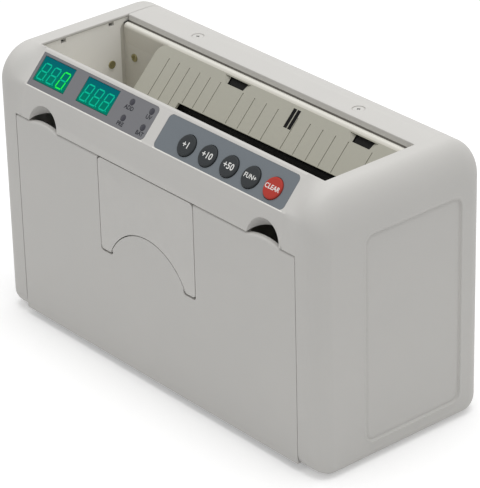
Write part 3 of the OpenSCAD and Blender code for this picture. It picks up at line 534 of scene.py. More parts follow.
@dataclass(frozen=True)
class PrintedFilm(Finish):
    """Screen-printed film: a fine printed texture under a satin coat."""

    name: str
    colour: Colour
    second: Colour
    roughness: float = 0.42
    grain: float = 5200.0
    depth: float = 0.003
    drift: Point = (40.0, 0.8)

    def _wire(self, desk: Desk) -> None:
        """Wires the material.

        Args:
            desk: Nodes of the material.
        """
        desk.set(Base_Color=desk.tone(self.colour, self.second, *self.drift))
        desk.set(Specular_IOR_Level=0.2, Coat_Weight=0.03, Coat_Roughness=0.35)
        desk.grain(self.grain, self.roughness, spread=0.07, depth=self.depth)


@dataclass(frozen=True)
class FadedPlastic(Finish):
    """Plastic that changes from a lower to an upper colour, and may glow."""

    name: str
    lower: Colour
    upper: Colour
    low_z: float
    high_z: float
    roughness: float = 0.5
    grain: float = 2600.0
    spread: float = 0.1
    depth: float = 0.006
    gloss: float = 0.25
    glow: float = 0.0

    def _wire(self, desk: Desk) -> None:
        """Wires the material.

        Args:
            desk: Nodes of the material.
        """
        heights = {"Low": self.low_z * MM, "High": self.high_z * MM}
        fade = desk.effect(Effect.FADE, Lower=self.lower, Upper=self.upper, **heights)["Colour"]
        desk.set(Base_Color=fade, Specular_IOR_Level=self.gloss)
        if self.glow:
            desk.set(Emission_Color=fade, Emission_Strength=self.glow)
        desk.grain(self.grain, self.roughness, self.spread, self.depth)


@dataclass(frozen=True)
class Glow(Finish):
    """Display segment that glows: real light where it is lit, painted glow where it is unlit."""

    name: str
    colour: Colour
    second: Colour
    strength: float
    drift: Point = (400.0, 0.6)

    def _wire(self, desk: Desk) -> None:
        """Wires the material.

        Args:
            desk: Nodes of the material.
        """
        tone = desk.tone(self.colour, self.second, *self.drift)
        desk.set(Base_Color=tone, Emission_Color=tone, Emission_Strength=self.strength)
        desk.set(Roughness=0.4, Specular_IOR_Level=0.05)


@dataclass(frozen=True)
class CircuitBoard(Finish):
    """Green lacquered board with paler copper tracks under the lacquer."""

    name: str
    colour: Colour
    track: Colour
    pitch: float = 90.0
    track_width: float = 0.03
    darker: float = 0.8

    def _wire(self, desk: Desk) -> None:
        """Wires the material.

        Args:
            desk: Nodes of the material.
        """
        dark = tuple(self.darker * level for level in self.colour)
        board = {
            "Vector": desk.place(Rotation=Vector((QUARTER, 0.0, 0.0))),
            "Color1": self.colour,
            "Color2": dark,
            "Mortar": self.track,
            "Scale": self.pitch,
            "Mortar Size": self.track_width,
        }
        desk.set(Base_Color=desk.node("TexBrick", board).outputs["Color"])
        desk.set(Specular_IOR_Level=0.5, Coat_Weight=0.3, Coat_Roughness=0.2)
        desk.grain(scale=2000.0, roughness=0.35, spread=0.08, depth=0.0)


CASING = MouldedPlastic("casing_grey", srgb(207, 205, 201), srgb(200, 199, 196))
FRAME = MouldedPlastic("wall_white", srgb(246, 244, 238), srgb(240, 238, 232), wear=0.1)
# Pale grey of the thin line along the panel's fold: a painted highlight of the fold's edge.
FOLD_HIGHLIGHT = MouldedPlastic("casing_painted_highlight", srgb(236, 234, 228), srgb(228, 226, 221), wear=0.1)
# Feed plate grey: its own greenish plastic, made darker than the casing as painted shade of the hopper.
PLATE = MouldedPlastic("plate_grey_painted_shade", srgb(176, 174, 162), srgb(169, 168, 157), wear=0.15)
# Dark grey of the strip behind the feed plate's roll: painted shade of the slit there.
SHADE = MouldedPlastic("backing_painted_shade", srgb(112, 109, 103), srgb(104, 101, 96), 0.6, wear=0.1)
POCKET = MouldedPlastic("pocket_grey", srgb(206, 203, 193), srgb(198, 196, 187), wear=0.15)
BASE = MouldedPlastic("base_dark", srgb(78, 78, 80), srgb(68, 68, 70), 0.6)
GUIDE = MouldedPlastic("guide_charcoal", srgb(34, 33, 32), srgb(27, 26, 26), gloss=0.1)
BLACK = MouldedPlastic("black_plastic", srgb(22, 22, 22), srgb(15, 15, 15), grain=3200.0, gloss=0.08)
KEY_DARK = MouldedPlastic("key_charcoal", srgb(58, 61, 63), srgb(51, 54, 56), grain=4200.0, gloss=0.15)
KEY_RED = MouldedPlastic("key_red", srgb(180, 66, 57), srgb(169, 58, 50), grain=4200.0, gloss=0.1)
IVORY = MouldedPlastic("ivory_plastic", srgb(224, 219, 204), srgb(212, 206, 190), 0.4)
LAMP = MouldedPlastic("lamp_lens", srgb(62, 62, 70), srgb(52, 52, 60), 0.35, wear=0.0, gloss=0.3)
LEGEND = MouldedPlastic("legend_white", srgb(236, 236, 232), srgb(222, 222, 220), wear=0.0)
CAPTION = MouldedPlastic("caption_dark", srgb(46, 47, 52), srgb(40, 41, 46), wear=0.0)
WRAP = MouldedPlastic("cell_wrap", srgb(58, 84, 128), srgb(48, 72, 112), 0.3, gloss=0.6)
LABEL_LEFT = PrintedFilm("label_grey", srgb(122, 122, 125), srgb(115, 116, 120))
LABEL_RIGHT = PrintedFilm("label_blue_grey", srgb(116, 122, 127), srgb(110, 117, 123))
RUBBER = Rubber("roller_rubber", srgb(26, 26, 26), srgb(50, 50, 49))
BELT = Rubber("belt_rubber", srgb(26, 26, 27), srgb(50, 50, 50), 0.65)
STEEL = Metal("bright_steel", (0.62, 0.62, 0.62), (0.5, 0.5, 0.51))
ZINC = Metal("yellow_zinc", (0.44, 0.4, 0.22), (0.33, 0.3, 0.16), 0.5)
BRONZE = Metal("sintered_bronze", (0.55, 0.36, 0.16), (0.42, 0.27, 0.12), 0.45)
BOARD = CircuitBoard("board_green", srgb(22, 92, 50), srgb(62, 132, 78))
# Unlit segments carry a faint painted glow; the lit segments stand for real light.
UNLIT_GLOW = Glow("segment_unlit_painted_glow", srgb(0, 170, 136), srgb(0, 158, 128), 0.35)
LIT = Glow("segment_lit", srgb(24, 214, 66), srgb(36, 222, 78), 0.42)


def measure(node: str) -> tuple[Vector, Vector]:
    """Lower and upper corner of a frame node's box in millimetres."""
    low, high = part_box(node)
    return low / MM, high / MM


def endways(y: float, z: float, x: float) -> Vector:
    """Places a form that is drawn on an end view and runs along X."""
    return Vector((x, y, z))


def upright(x: float, y: float, z: float) -> Vector:
    """Places a form that is drawn on the plan and runs up."""
    return Vector((x, y, z))


def boxed(low: Point, high: Point) -> list[Point]:
    """Corners of a rectangle, counterclockwise from its lower corner."""
    return [low, (high[0], low[1]), high, (low[0], high[1])]


def arc(centre: Point, radius: float, start: float, end: float, steps: int) -> list[Point]:
    """Points along a circular arc, both ends included.

    Args:
        centre: Centre of the arc.
        radius: Radius of the arc.
        start: First angle in radians.
        end: Last angle in radians.
        steps: Number of spans.

    Returns:
        The points.
    """
    angles = [start + (end - start) * k / steps for k in range(steps + 1)]
    return [(centre[0] + radius * math.cos(a), centre[1] + radius * math.sin(a)) for a in angles]


def rounded(low: Point, high: Point, radius: float, steps: int) -> list[Point]:
    """Outline of a rectangle with round corners.

    Args:
        low: Lower corner.
        high: Upper corner.
        radius: Rounding of the corners.
        steps: Spans along each corner.

    Returns:
        Its points, counterclockwise.
    """
    outline: list[Point] = []
    middles = boxed((low[0] + radius, low[1] + radius), (high[0] - radius, high[1] - radius))
    for turn, middle in enumerate(middles, start=2):
        outline += arc(middle, radius, turn * QUARTER, (turn + 1) * QUARTER, steps)
    return outline


def along(path: Sequence[Point], share: float) -> Vector:
    """Finds a point on a path.

    Args:
        path: Corners of the path.
        share: Part of its length, from 0 to 1.

    Returns:
        The point.
    """
    spans = [(Vector(b) - Vector(a)).length for a, b in zip(path, path[1:])]
    left = share * sum(spans)
    for start, end, span in zip(path, path[1:], spans):
        if left <= span:
            return Vector(start).lerp(Vector(end), left / span if span else 0.0)
        left -= span
    return Vector(path[-1])


def put(name: str, data: bpy.types.ID) -> bpy.types.Object:
    """Puts a new object into the scene.

    Args:
        name: Name of the object.
        data: Its mesh, curve, lamp or camera.

    Returns:
        The object.
    """
    thing = bpy.data.objects.new(name, data)
    bpy.context.scene.collection.objects.link(thing)
    return thing


class Shell:
    """A mesh in the making, with points in millimetres."""

    capital: ClassVar[float] = 0.7
    hair: ClassVar[float] = 1e-7
    fill_reach: ClassVar[float] = 1e-5
    holes_left_open: ClassVar[int] = 2

    def __init__(self) -> None:
        """Starts an empty mesh."""
        self.mesh = bmesh.new()

    def ring(self, points: Iterable[Vector]) -> Ring:
        """Adds points as a closed ring or an open row."""
        return [self.mesh.verts.new(point * MM) for point in points]

    def bridge(self, first: Ring, second: Ring, closed: bool = True) -> None:
        """Joins two rings or rows of equal length with quads.

        Args:
            first: One ring.
            second: The other ring.
            closed: Whether the last points join the first ones.
        """
        count = len(first)
        for k in range(count if closed else count - 1):
            after = (k + 1) % count
            self.mesh.faces.new((first[k], first[after], second[after], second[k]))

    def loft(self, rings: Sequence[Ring], closed: bool = True) -> None:
        """Joins each ring or row to the next one."""
        for first, second in zip(rings, rings[1:]):
            self.bridge(first, second, closed)

    def cap(self, ring: Ring) -> None:
        """Closes a flat ring with one face."""
        self.mesh.faces.new(ring)

    def fill(self, *rings: Ring) -> None:
        """Fills the flat area between an outer ring and the rings inside it.

        Args:
            *rings: The outer ring first.
        """
        origin = rings[0][0].co
        across = (rings[0][1].co - origin).normalized()
        upward = geometry.normal([vertex.co for vertex in rings[0]]).cross(across)
        points: Ring = []
        loops: list[list[int]] = []
        for ring in rings:
            loops.append([len(points) + k for k in range(len(ring))])
            points += ring
        ways = [(vertex.co - origin) / MM for vertex in points]
        flat = [Vector((way.dot(across), way.dot(upward))) for way in ways]
        _, _, faces, sources, _, _ = geometry.delaunay_2d_cdt(
            flat, [], loops, self.holes_left_open, self.fill_reach
        )
        for face in faces:
            self.mesh.faces.new([points[sources[k][0]] for k in face])

    def prism(self, outline: Sequence[Point], low: float, high: float, place: Place) -> None:
        """Adds a closed prism.

        Args:
            outline: Outline of the prism.
            low: Where it starts along the third direction.
            high: Where it ends.
            place: Turns (u, v, w) into a point.
        """
        rings = [self.ring(place(u, v, w) for u, v in outline) for w in (low, high)]
        self.bridge(*rings)
        for ring in rings:
            self.cap(ring)

    def lathe(self, profile: Sequence[Point], centre: Point, place: Place, steps: int = 48) -> None:
        """Adds a closed turned form.

        Args:
            profile: (radius, height) points from the lower middle to the upper middle.
            centre: Where the axis stands.
            place: Turns (u, v, w) into a point.
            steps: Spans round the axis.
        """
        rings = []
        for radius, height in profile:
            circle = arc(centre, radius, 0.0, 4 * QUARTER, steps)[:-1]
            rings.append(self.ring(place(u, v, height) for u, v in circle))
        self.loft(rings)
        self.cap(rings[0])
        self.cap(rings[-1])

    def letters(
        self, text: str, height: float, place: Place, thickness: float = 0.03, bold: float = 0.02
    ) -> None:
        """Adds raised letters.

        Args:
            text: The words.
            height: Height of a capital letter.
            place: Turns (u, v, w) into a point; the letters stand about the origin.
            thickness: How far they stand up.
            bold: How far their strokes are widened, as a share of the height.
        """
        curve = bpy.data.curves.new("letters", "FONT")
        curve.body = text
        curve.align_x = curve.align_y = "CENTER"
        curve.size = height / self.capital
        curve.extrude = thickness / 2
        curve.offset = bold * height
        curve.resolution_u = 3
        holder = put("letters", curve)
        shape = bpy.data.meshes.new_from_object(
            holder.evaluated_get(bpy.context.evaluated_depsgraph_get())
        )
        known = self.ring(place(v.co.x, v.co.y, v.co.z + thickness / 2) for v in shape.vertices)
        for face in shape.polygons:
            self.mesh.faces.new([known[k] for k in face.vertices])
        bpy.data.objects.remove(holder)
        bpy.data.meshes.remove(shape)
        bpy.data.curves.remove(curve)

    def bevel(self, edges: list[bmesh.types.BMEdge], width: float, steps: int) -> None:
        """Rounds edges.

        Args:
            edges: Edges to round.
            width: Width of the rounding.
            steps: Spans across it.
        """
        if edges:
            bmesh.ops.bevel(
                self.mesh,
                geom=edges,
                offset=width * MM,
                offset_type="OFFSET",
                segments=steps,
                profile=0.5,
                affect="EDGES",
                clamp_overlap=True,
                loop_slide=True,
            )

    def cut_away(
        self, chosen: Callable[[bmesh.types.BMFace], bool], point: Vector, way: Vector
    ) -> None:
        """Cuts chosen faces along a plane and deletes what lies behind it.

        Args:
            chosen: Says which faces are cut.
            point: A point of the plane in metres.
            way: Direction of the side that stays.
        """
        faces = [face for face in self.mesh.faces if chosen(face)]
        edges = dict.fromkeys(edge for face in faces for edge in face.edges)
        points = dict.fromkeys(vertex for face in faces for vertex in face.verts)
        bmesh.ops.bisect_plane(
            self.mesh, geom=[*faces, *edges, *points], plane_co=point, plane_no=way, dist=self.hair
        )
        behind = [
            face
            for face in self.mesh.faces
            if chosen(face) and (face.calc_center_median() - point).dot(way) < 0
        ]
        bmesh.ops.delete(self.mesh, geom=behind, context="FACES")

    def piece(self, name: str) -> bpy.types.Object:
        """Ends the work and puts the mesh into the scene.

        Args:
            name: Name of the object and its mesh.

        Returns:
            The new object.
        """
        mesh = bpy.data.meshes.new(name)
        self.mesh.to_mesh(mesh)
        self.mesh.free()
        return put(name, mesh)


@dataclass
class Workshop:
    """Puts finished pieces into the scene and reports them."""

    made: list[str] = field(default_factory=list)
    weld_new: float = 1e-8
    weld_frame: float = 2e-7
    flat_angle: float = 0.4
    wide_factor: int = 4

    def add(
        self,
        name: str,
        shell: Shell,
        finish: Finish,
        body: Body,
        slot: str,
        replaces: Sequence[str] = (),
        sharp: float = 35.0,
    ) -> None:
        """Turns a mesh into a piece that rides on a body.

        Args:
            name: Name of the piece.
            shell: Its mesh.
            finish: Its finish.
            body: Body that it rides on.
            slot: Material slot of the record; not used.
            replaces: Frame nodes that it stands for.
            sharp: Angle in degrees above which an edge stays sharp.
        """
        bmesh.ops.remove_doubles(shell.mesh, verts=shell.mesh.verts, dist=self.weld_new)
        bmesh.ops.recalc_face_normals(shell.mesh, faces=shell.mesh.faces)
        piece = shell.piece(name)
        mesh = piece.data
        mesh.shade_smooth()
        mesh.set_sharp_from_angle(angle=math.radians(sharp))
        mesh.materials.append(finish.material())
        normals = piece.modifiers.new("face_weighted_normals", "WEIGHTED_NORMAL")
        normals.keep_sharp = True
        normals.weight = 100
        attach(piece, body.value)
        if replaces:
            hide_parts(*replaces)
        self.made.append(name)
        LOG.info("%s on %s: %d faces", name, body.value, len(mesh.polygons))

    def soften(
        self,
        node: str,
        finish: Finish,
        width: float,
        steps: int = 2,
        angle: float = 24.0,
        flush: float | None = None,
        first: tuple[float, Callable[[Vector], bool]] | None = None,
        prepare: Callable[[Shell], None] | None = None,
    ) -> None:
        """Makes a piece with rounded edges from a frame node, which it stands for.

        Args:
            node: Name of the node.
            finish: Finish of the piece.
            width: Width of the rounding.
            steps: Spans across the rounding.
            angle: Angle in degrees above which an edge is rounded.
            flush: Distance from the middle plane of end faces whose edges stay sharp.
            first: A wider rounding, and a test for the points of the edges that take it.
            prepare: Changes the mesh before its edges are rounded.
        """
        source = frame["nodes"][node]
        shell = Shell()
        mesh = shell.mesh
        mesh.from_mesh(source.data)
        bmesh.ops.remove_doubles(mesh, verts=mesh.verts, dist=self.weld_frame)
        bmesh.ops.dissolve_limit(
            mesh, angle_limit=math.radians(self.flat_angle), verts=mesh.verts, edges=mesh.edges
        )
        if prepare is not None:
            prepare(shell)
        if first is not None:
            wide, chosen = first
            edges = [e for e in mesh.edges if all(chosen(v.co / MM) for v in e.verts)]
            shell.bevel(edges, wide, self.wide_factor * steps)
        edges = [
            edge
            for edge in mesh.edges
            if edge.is_manifold
            and edge.calc_face_angle(0.0) > math.radians(angle)
            and (flush is None or any(abs(v.co.x / MM) < flush - TOUCH for v in edge.verts))
        ]
        shell.bevel(edges, width, steps)
        subparts = frame["record"]["subparts"]
        slot = next(part["material_slot"] for part in subparts if part["node"] == node)
        self.add(node + "_shell", shell, finish, Body(source["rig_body"]), slot, [node], sharp=40.0)

    @staticmethod
    def dress(finish: Finish, *nodes: str) -> None:
        """Gives frame nodes a finish.

        Args:
            finish: The finish.
            *nodes: Names of the nodes.
        """
        for node in nodes:
            for slot in frame["nodes"][node].material_slots:
                slot.material = finish.material()
            LOG.info("%s dressed in %s", node, finish.name)


@dataclass(frozen=True)
class Datum:
    """Main planes of the machine, read from the frame."""

    half_width: float
    inner_x: float
    front: float
    back: float
    bottom: float
    top: float
    lip: float
    panel_end: float
    skirt: float
    strip: float
    ridge_back: ClassVar[float] = 0.7

    @classmethod
    def read(cls) -> "Datum":
        """Measures the right end casing, the control panel and the rear cover.

        Returns:
            The planes in millimetres.
        """
        low, high = measure("right_end_casing")
        panel_low, panel_high = measure("control_panel")
        cover_low, _ = measure("rear_cover")
        return cls(
            half_width=high.x,
            inner_x=low.x,
            front=low.y,
            back=high.y,
            bottom=low.z,
            top=panel_high.z,
            lip=panel_low.z,
            panel_end=panel_high.x,
            skirt=panel_high.y - cls.ridge_back,
            strip=cover_low.y,
        )


@dataclass(frozen=True)
class PanelPlane:
    """Sloping face of the control panel: u along it, v up it and w out of it."""

    datum: Datum
    fold_back: float = 2.8
    fold_drop: float = 14.0
    crest_back: float = 15.3
    crest_drop: float = 0.5

    def at(self, u: float, v: float, w: float) -> Vector:
        """Point on or over the panel.

        Args:
            u: Place along the panel.
            v: Place up the slope from the fold.
            w: Height over the face.

        Returns:
            The point in millimetres.
        """
        press = next(j for j in frame["joints"] if j["name"] == "press_add_one")
        out = -Vector(press["axis"]).normalized()
        up = out.cross(Vector((1.0, 0.0, 0.0)))
        d = self.datum
        return Vector((u, d.front + self.fold_back, d.top - self.fold_drop)) + up * v + out * w

    def place(self, u: float, v: float, w: float = 0.0) -> Place:
        """Placing of a form that is drawn about a point of the panel."""
        return lambda a, b, c: self.at(u + a, v + b, w + c)

    def profile(self, inset: float) -> list[Point]:
        """Outline of the panel from its back edge to the lip over the door.

        Args:
            inset: How far the outline is set in.

        Returns:
            Its corners as (y, z).
        """
        d = self.datum
        fold = Vector((d.front + self.fold_back, d.top - self.fold_drop))
        crest = Vector((d.front + self.crest_back, d.top - self.crest_drop))
        lean = (fold - Vector((d.front, d.lip))).normalized()
        slope = (crest - fold).normalized()
        level = Vector((1.0, 0.0))

        def moved(way: Vector) -> Vector:
            """A point of the line through the fold after the line is set in."""
            return fold + Vector((way.y, -way.x)) * inset

        def crossing(first: Vector, way: Vector, second: Vector, other: Vector) -> Point:
            """Where two lines meet."""
            return tuple(first + way * ((second - first).cross(other) / way.cross(other)))

        return [
            (d.skirt, d.top - inset),
            crossing(moved(slope), slope, Vector((0.0, d.top - inset)), level),
            crossing(moved(lean), lean, moved(slope), slope),
            crossing(moved(lean), lean, Vector((0.0, d.lip)), level),
        ]


@dataclass
class EndCasing:
    """One moulded end cap: a round-shouldered shell with a sunk panel in its end face."""

    datum: Datum
    plane: PanelPlane
    side: Side
    wall: float = 2.4
    rim_wall: float = 0.9
    top_round: float = 16.0
    crown_left: Point = (7.0, 18.0)
    crown_right: Point = (9.6, 19.0)
    upright_round: float = 8.0
    heel_round: float = 8.0
    bottom_round: float = 4.0
    least_round: float = 1.0
    blend_end: float = 6.2
    fairing_left: float = 4.2
    fairing_right: float = 9.0
    heel_steps: int = 8
    back_steps: int = 12
    front_steps: int = 16
    blend_steps: int = 8
    blend_first: int = 2
    fairing_steps: int = 10
    turn_steps: int = 14
    panel_steps: tuple[int, ...] = (2, 12, 9)
    lip_round: float = 0.4
    lip_turn: tuple[Point, ...] = ((0.0, 1.0), (0.3, 0.3), (1.0, 0.0))
    margin: float = 0.2
    bead: float = 0.25
    recess_front: float = 25.5
    recess_back: float = 12.8
    recess_low: float = 8.0
    recess_high: float = 23.1
    recess_round: float = 5.0
    recess_steps: int = 10
    recess_edge: tuple[Point, ...] = (
        (-1.0, 0.0), (-0.6, 0.14), (-0.1, 0.24), (0.35, 0.16), (0.58, -0.14),
        (0.74, -0.6), (1.0, -0.84), (1.4, -0.8), (2.0, -0.62), (2.6, -0.58),
    )

    def build(self, shop: Workshop) -> None:
        """Builds the casing and puts it in place.

        Args:
            shop: Where the piece goes.
        """
        shell = Shell()
        lip = self.lip_round
        outer = [self._rim(shell, ahead * lip, drop * lip) for ahead, drop in self.lip_turn]
        outer += [self._ring(shell, x, 0.0) for x in self._stations(0.0)]
        inner = [self._ring(shell, self.datum.inner_x, self.rim_wall)]
        inner += [self._ring(shell, x, self.wall) for x in self._stations(self.wall)]
        shell.loft(outer)
        shell.loft(inner)
        shell.bridge(outer[0], inner[0])
        shell.cap(inner[-1])
        self._end_face(shell, outer[-1])
        self._fairing(shell)
        name = f"{self.side.name.lower()}_end_casing"
        shop.add(name + "_shell", shell, CASING, Body.HOUSING, "casing", [name])

    @property
    def fairing(self) -> float:
        """How far the round shoulder runs out over the panel, which is less beside the displays."""
        return self.fairing_right if self.side is Side.RIGHT else self.fairing_left

    def _stations(self, inset: float) -> list[float]:
        """Stations from behind the lip to the end face.

        Args:
            inset: How far the form is set in.

        Returns:
            Their places along X, counted outwards.
        """
        turn = self.upright_round - inset
        start = self.datum.half_width - self.bead - inset - turn
        run = range(self.blend_first, self.blend_steps + 1)
        blend = [self.datum.panel_end + self.blend_end * k / self.blend_steps for k in run]
        angles = [QUARTER * k / self.turn_steps for k in range(self.turn_steps + 1)]
        return blend + [start + turn * math.sin(angle) for angle in angles]

    def _fall(self, x: float, inset: float, reach: float, depth: float) -> float:
        """How far an edge has fallen on its elliptic turn towards the end.

        Args:
            x: Station along X.
            inset: How far the form is set in.
            reach: Length of the turn along X.
            depth: Depth of the turn.

        Returns:
            The fall.
        """
        end = self.datum.half_width - self.bead - inset
        share = min(1.0, max(0.0, (x - end + reach - inset) / (reach - inset)))
        return (depth - inset) * (1.0 - math.sqrt(1.0 - share * share))

    def _outline(self, x: float, inset: float) -> list[Point]:
        """Outline of the casing at one station.

        Args:
            x: Station along X.
            inset: How far the form is set in.

        Returns:
            Points as (y, z), counterclockwise and the same number at each station.
        """
        d = self.datum
        reach, depth = self.crown_left if self.side is Side.LEFT else self.crown_right
        crown = self._fall(x, inset, reach, depth)
        turn = self._fall(x, inset, self.upright_round, self.upright_round)
        sole = self._fall(x, inset, self.bottom_round, self.bottom_round)
        front, back = d.front + inset + turn, d.back - inset - turn
        bottom, top = d.bottom + inset + sole, d.top - inset - crown
        crest = max(self.least_round, self.top_round - inset - (crown + turn) / 2)
        heel = max(self.least_round, self.heel_round - inset - (sole + turn) / 2)
        floor = bottom + heel
        outline = arc((front + heel, floor), heel, 2 * QUARTER, 3 * QUARTER, self.heel_steps)
        outline += arc((back - heel, floor), heel, 3 * QUARTER, 4 * QUARTER, self.heel_steps)
        outline += arc((back - crest, top - crest), crest, 0.0, QUARTER, self.back_steps)
        outline += [(y, top) for y in (d.strip, d.strip - self.margin, d.skirt + self.margin, d.skirt)]
        outline += self._shoulder(x, inset, self._turned(front, top, crest))
        return outline + [(front, d.lip - self.margin)]

    def _turned(self, front: float, top: float, crest: float) -> list[Point]:
        """Path over the round front of the end.

        Args:
            front: Foremost plane.
            top: Topmost plane.
            crest: Rounding between them.

        Returns:
            Points from behind the panel's top edge down to the lip.
        """
        bend = arc((front + crest, top - crest), crest, QUARTER, 2 * QUARTER, self.front_steps)
        return [(self.datum.skirt, top), *bend, (front, self.datum.lip)]

    def _shoulder(self, x: float, inset: float, turned: list[Point]) -> list[Point]:
        """Front shoulder, which runs from the panel's outline into the round end.

        Args:
            x: Station along X.
            inset: How far the form is set in.
            turned: Path of the round end.

        Returns:
            Points from behind the panel's top edge down to the lip.
        """
        panel = [Vector(corner) for corner in self.plane.profile(inset)]
        walked = [
            start.lerp(end, k / count)
            for start, end, count in zip(panel, panel[1:], self.panel_steps)
            for k in range(1, count + 1)
        ]
        lengths = [(b - a).length for a, b in zip([panel[0], *walked], walked)]
        start, end = self.datum.panel_end - self.fairing, self.datum.panel_end + self.blend_end
        share = min(1.0, max(0.0, (x - start) / (end - start)))
        blend = share * share * (3 - 2 * share)
        points = []
        for k, point in enumerate(walked):
            part = sum(lengths[: k + 1]) / sum(lengths)
            points.append(tuple(point.lerp(along(turned, part), blend)))
        return points

    def _fairing(self, shell: Shell) -> None:
        """Adds the skin over the panel where the shoulder runs out.

        Args:
            shell: Mesh that takes the skin.
        """
        d = self.datum
        turned = self._turned(d.front, d.top, self.top_round)
        strips = []
        for k in range(self.fairing_steps + 1):
            x = d.panel_end - self.fairing * (1 - k / self.fairing_steps)
            points = self._shoulder(x, 0.0, turned)
            strips.append(shell.ring(Vector((self.side.value * x, y, z)) for y, z in points))
        shell.loft(strips, closed=False)

    def _ring(self, shell: Shell, x: float, inset: float) -> Ring:
        """Adds the outline of one station as a ring."""
        return shell.ring(Vector((self.side.value * x, y, z)) for y, z in self._outline(x, inset))

    def _rim(self, shell: Shell, ahead: float, drop: float) -> Ring:
        """Adds a ring at the inner rim, which closes up to the panel and rounds over the hopper.

        Args:
            shell: Mesh that takes the ring.
            ahead: How far the ring lies from the rim.
            drop: How far the rounded hopper edge has dropped there.

        Returns:
            The new ring.
        """
        d = self.datum
        points = []
        for y, z in self._outline(d.panel_end + ahead, 0.0):
            on_panel = z > d.lip - self.margin / 2 and y < d.skirt + self.margin / 2
            beside_door = y < d.front + self.heel_round and z < d.lip
            on_cover = y > d.strip - self.margin / 2
            over_hopper = z > d.lip and not on_panel and not on_cover
            joined = on_panel or beside_door or (on_cover and self.side is Side.RIGHT)
            x = (d.panel_end if joined else d.inner_x) + ahead
            points.append(Vector((self.side.value * x, y, z - drop if over_hopper else z)))
        return shell.ring(points)

    def _end_face(self, shell: Shell, rim: Ring) -> None:
        """Closes the end with its sunk panel and the bead round it.

        Args:
            shell: Mesh that takes the faces.
            rim: Ring round the flat end face.
        """
        d = self.datum
        rings = []
        for inset, height in self.recess_edge:
            low = (d.front + self.recess_front + inset, d.bottom + self.recess_low + inset)
            high = (d.back - self.recess_back - inset, d.top - self.recess_high - inset)
            outline = rounded(low, high, self.recess_round - inset, self.recess_steps)
            x = self.side.value * (d.half_width - self.bead + height)
            rings.append(shell.ring(Vector((x, y, z)) for y, z in outline))
        shell.loft(rings)
        shell.cap(rings[-1])
        shell.fill(rim, rings[0])


@dataclass
class SideWalls:
    """The two white hopper walls and the screws that hold them."""

    edge: float = 0.25
    head_edge: float = 0.15
    strip_low: Point = (15.0, 92.0)
    strip_high: Point = (18.0, 127.6)
    strip_sink: float = 0.25
    strip_thick: float = 1.0
    hole_low: float = 122.0
    top_lift: float = 1.5

    def build(self, shop: Workshop) -> None:
        """Builds the walls.

        Args:
            shop: Where the pieces go.
        """
        for node in ("left_side_frame", "right_side_frame"):
            shop.soften(node, FRAME, self.edge, prepare=self._raise_top)
        shop.soften("case_screws", ZINC, self.head_edge)
        strip = Shell()
        wall = measure("left_side_frame")[1].x - self.strip_sink
        strip.prism(boxed(self.strip_low, self.strip_high), wall - self.strip_thick, wall, endways)
        shop.add("pocket_edge_strip", strip, POCKET, Body.HOUSING, "plate_plastic")

    def _raise_top(self, shell: Shell) -> None:
        """Raises the top edge of a wall and its square holes up to the casing's rim.

        Args:
            shell: Mesh of the wall.
        """
        for vertex in shell.mesh.verts:
            if vertex.co.z > self.hole_low * MM:
                vertex.co.z += self.top_lift * MM


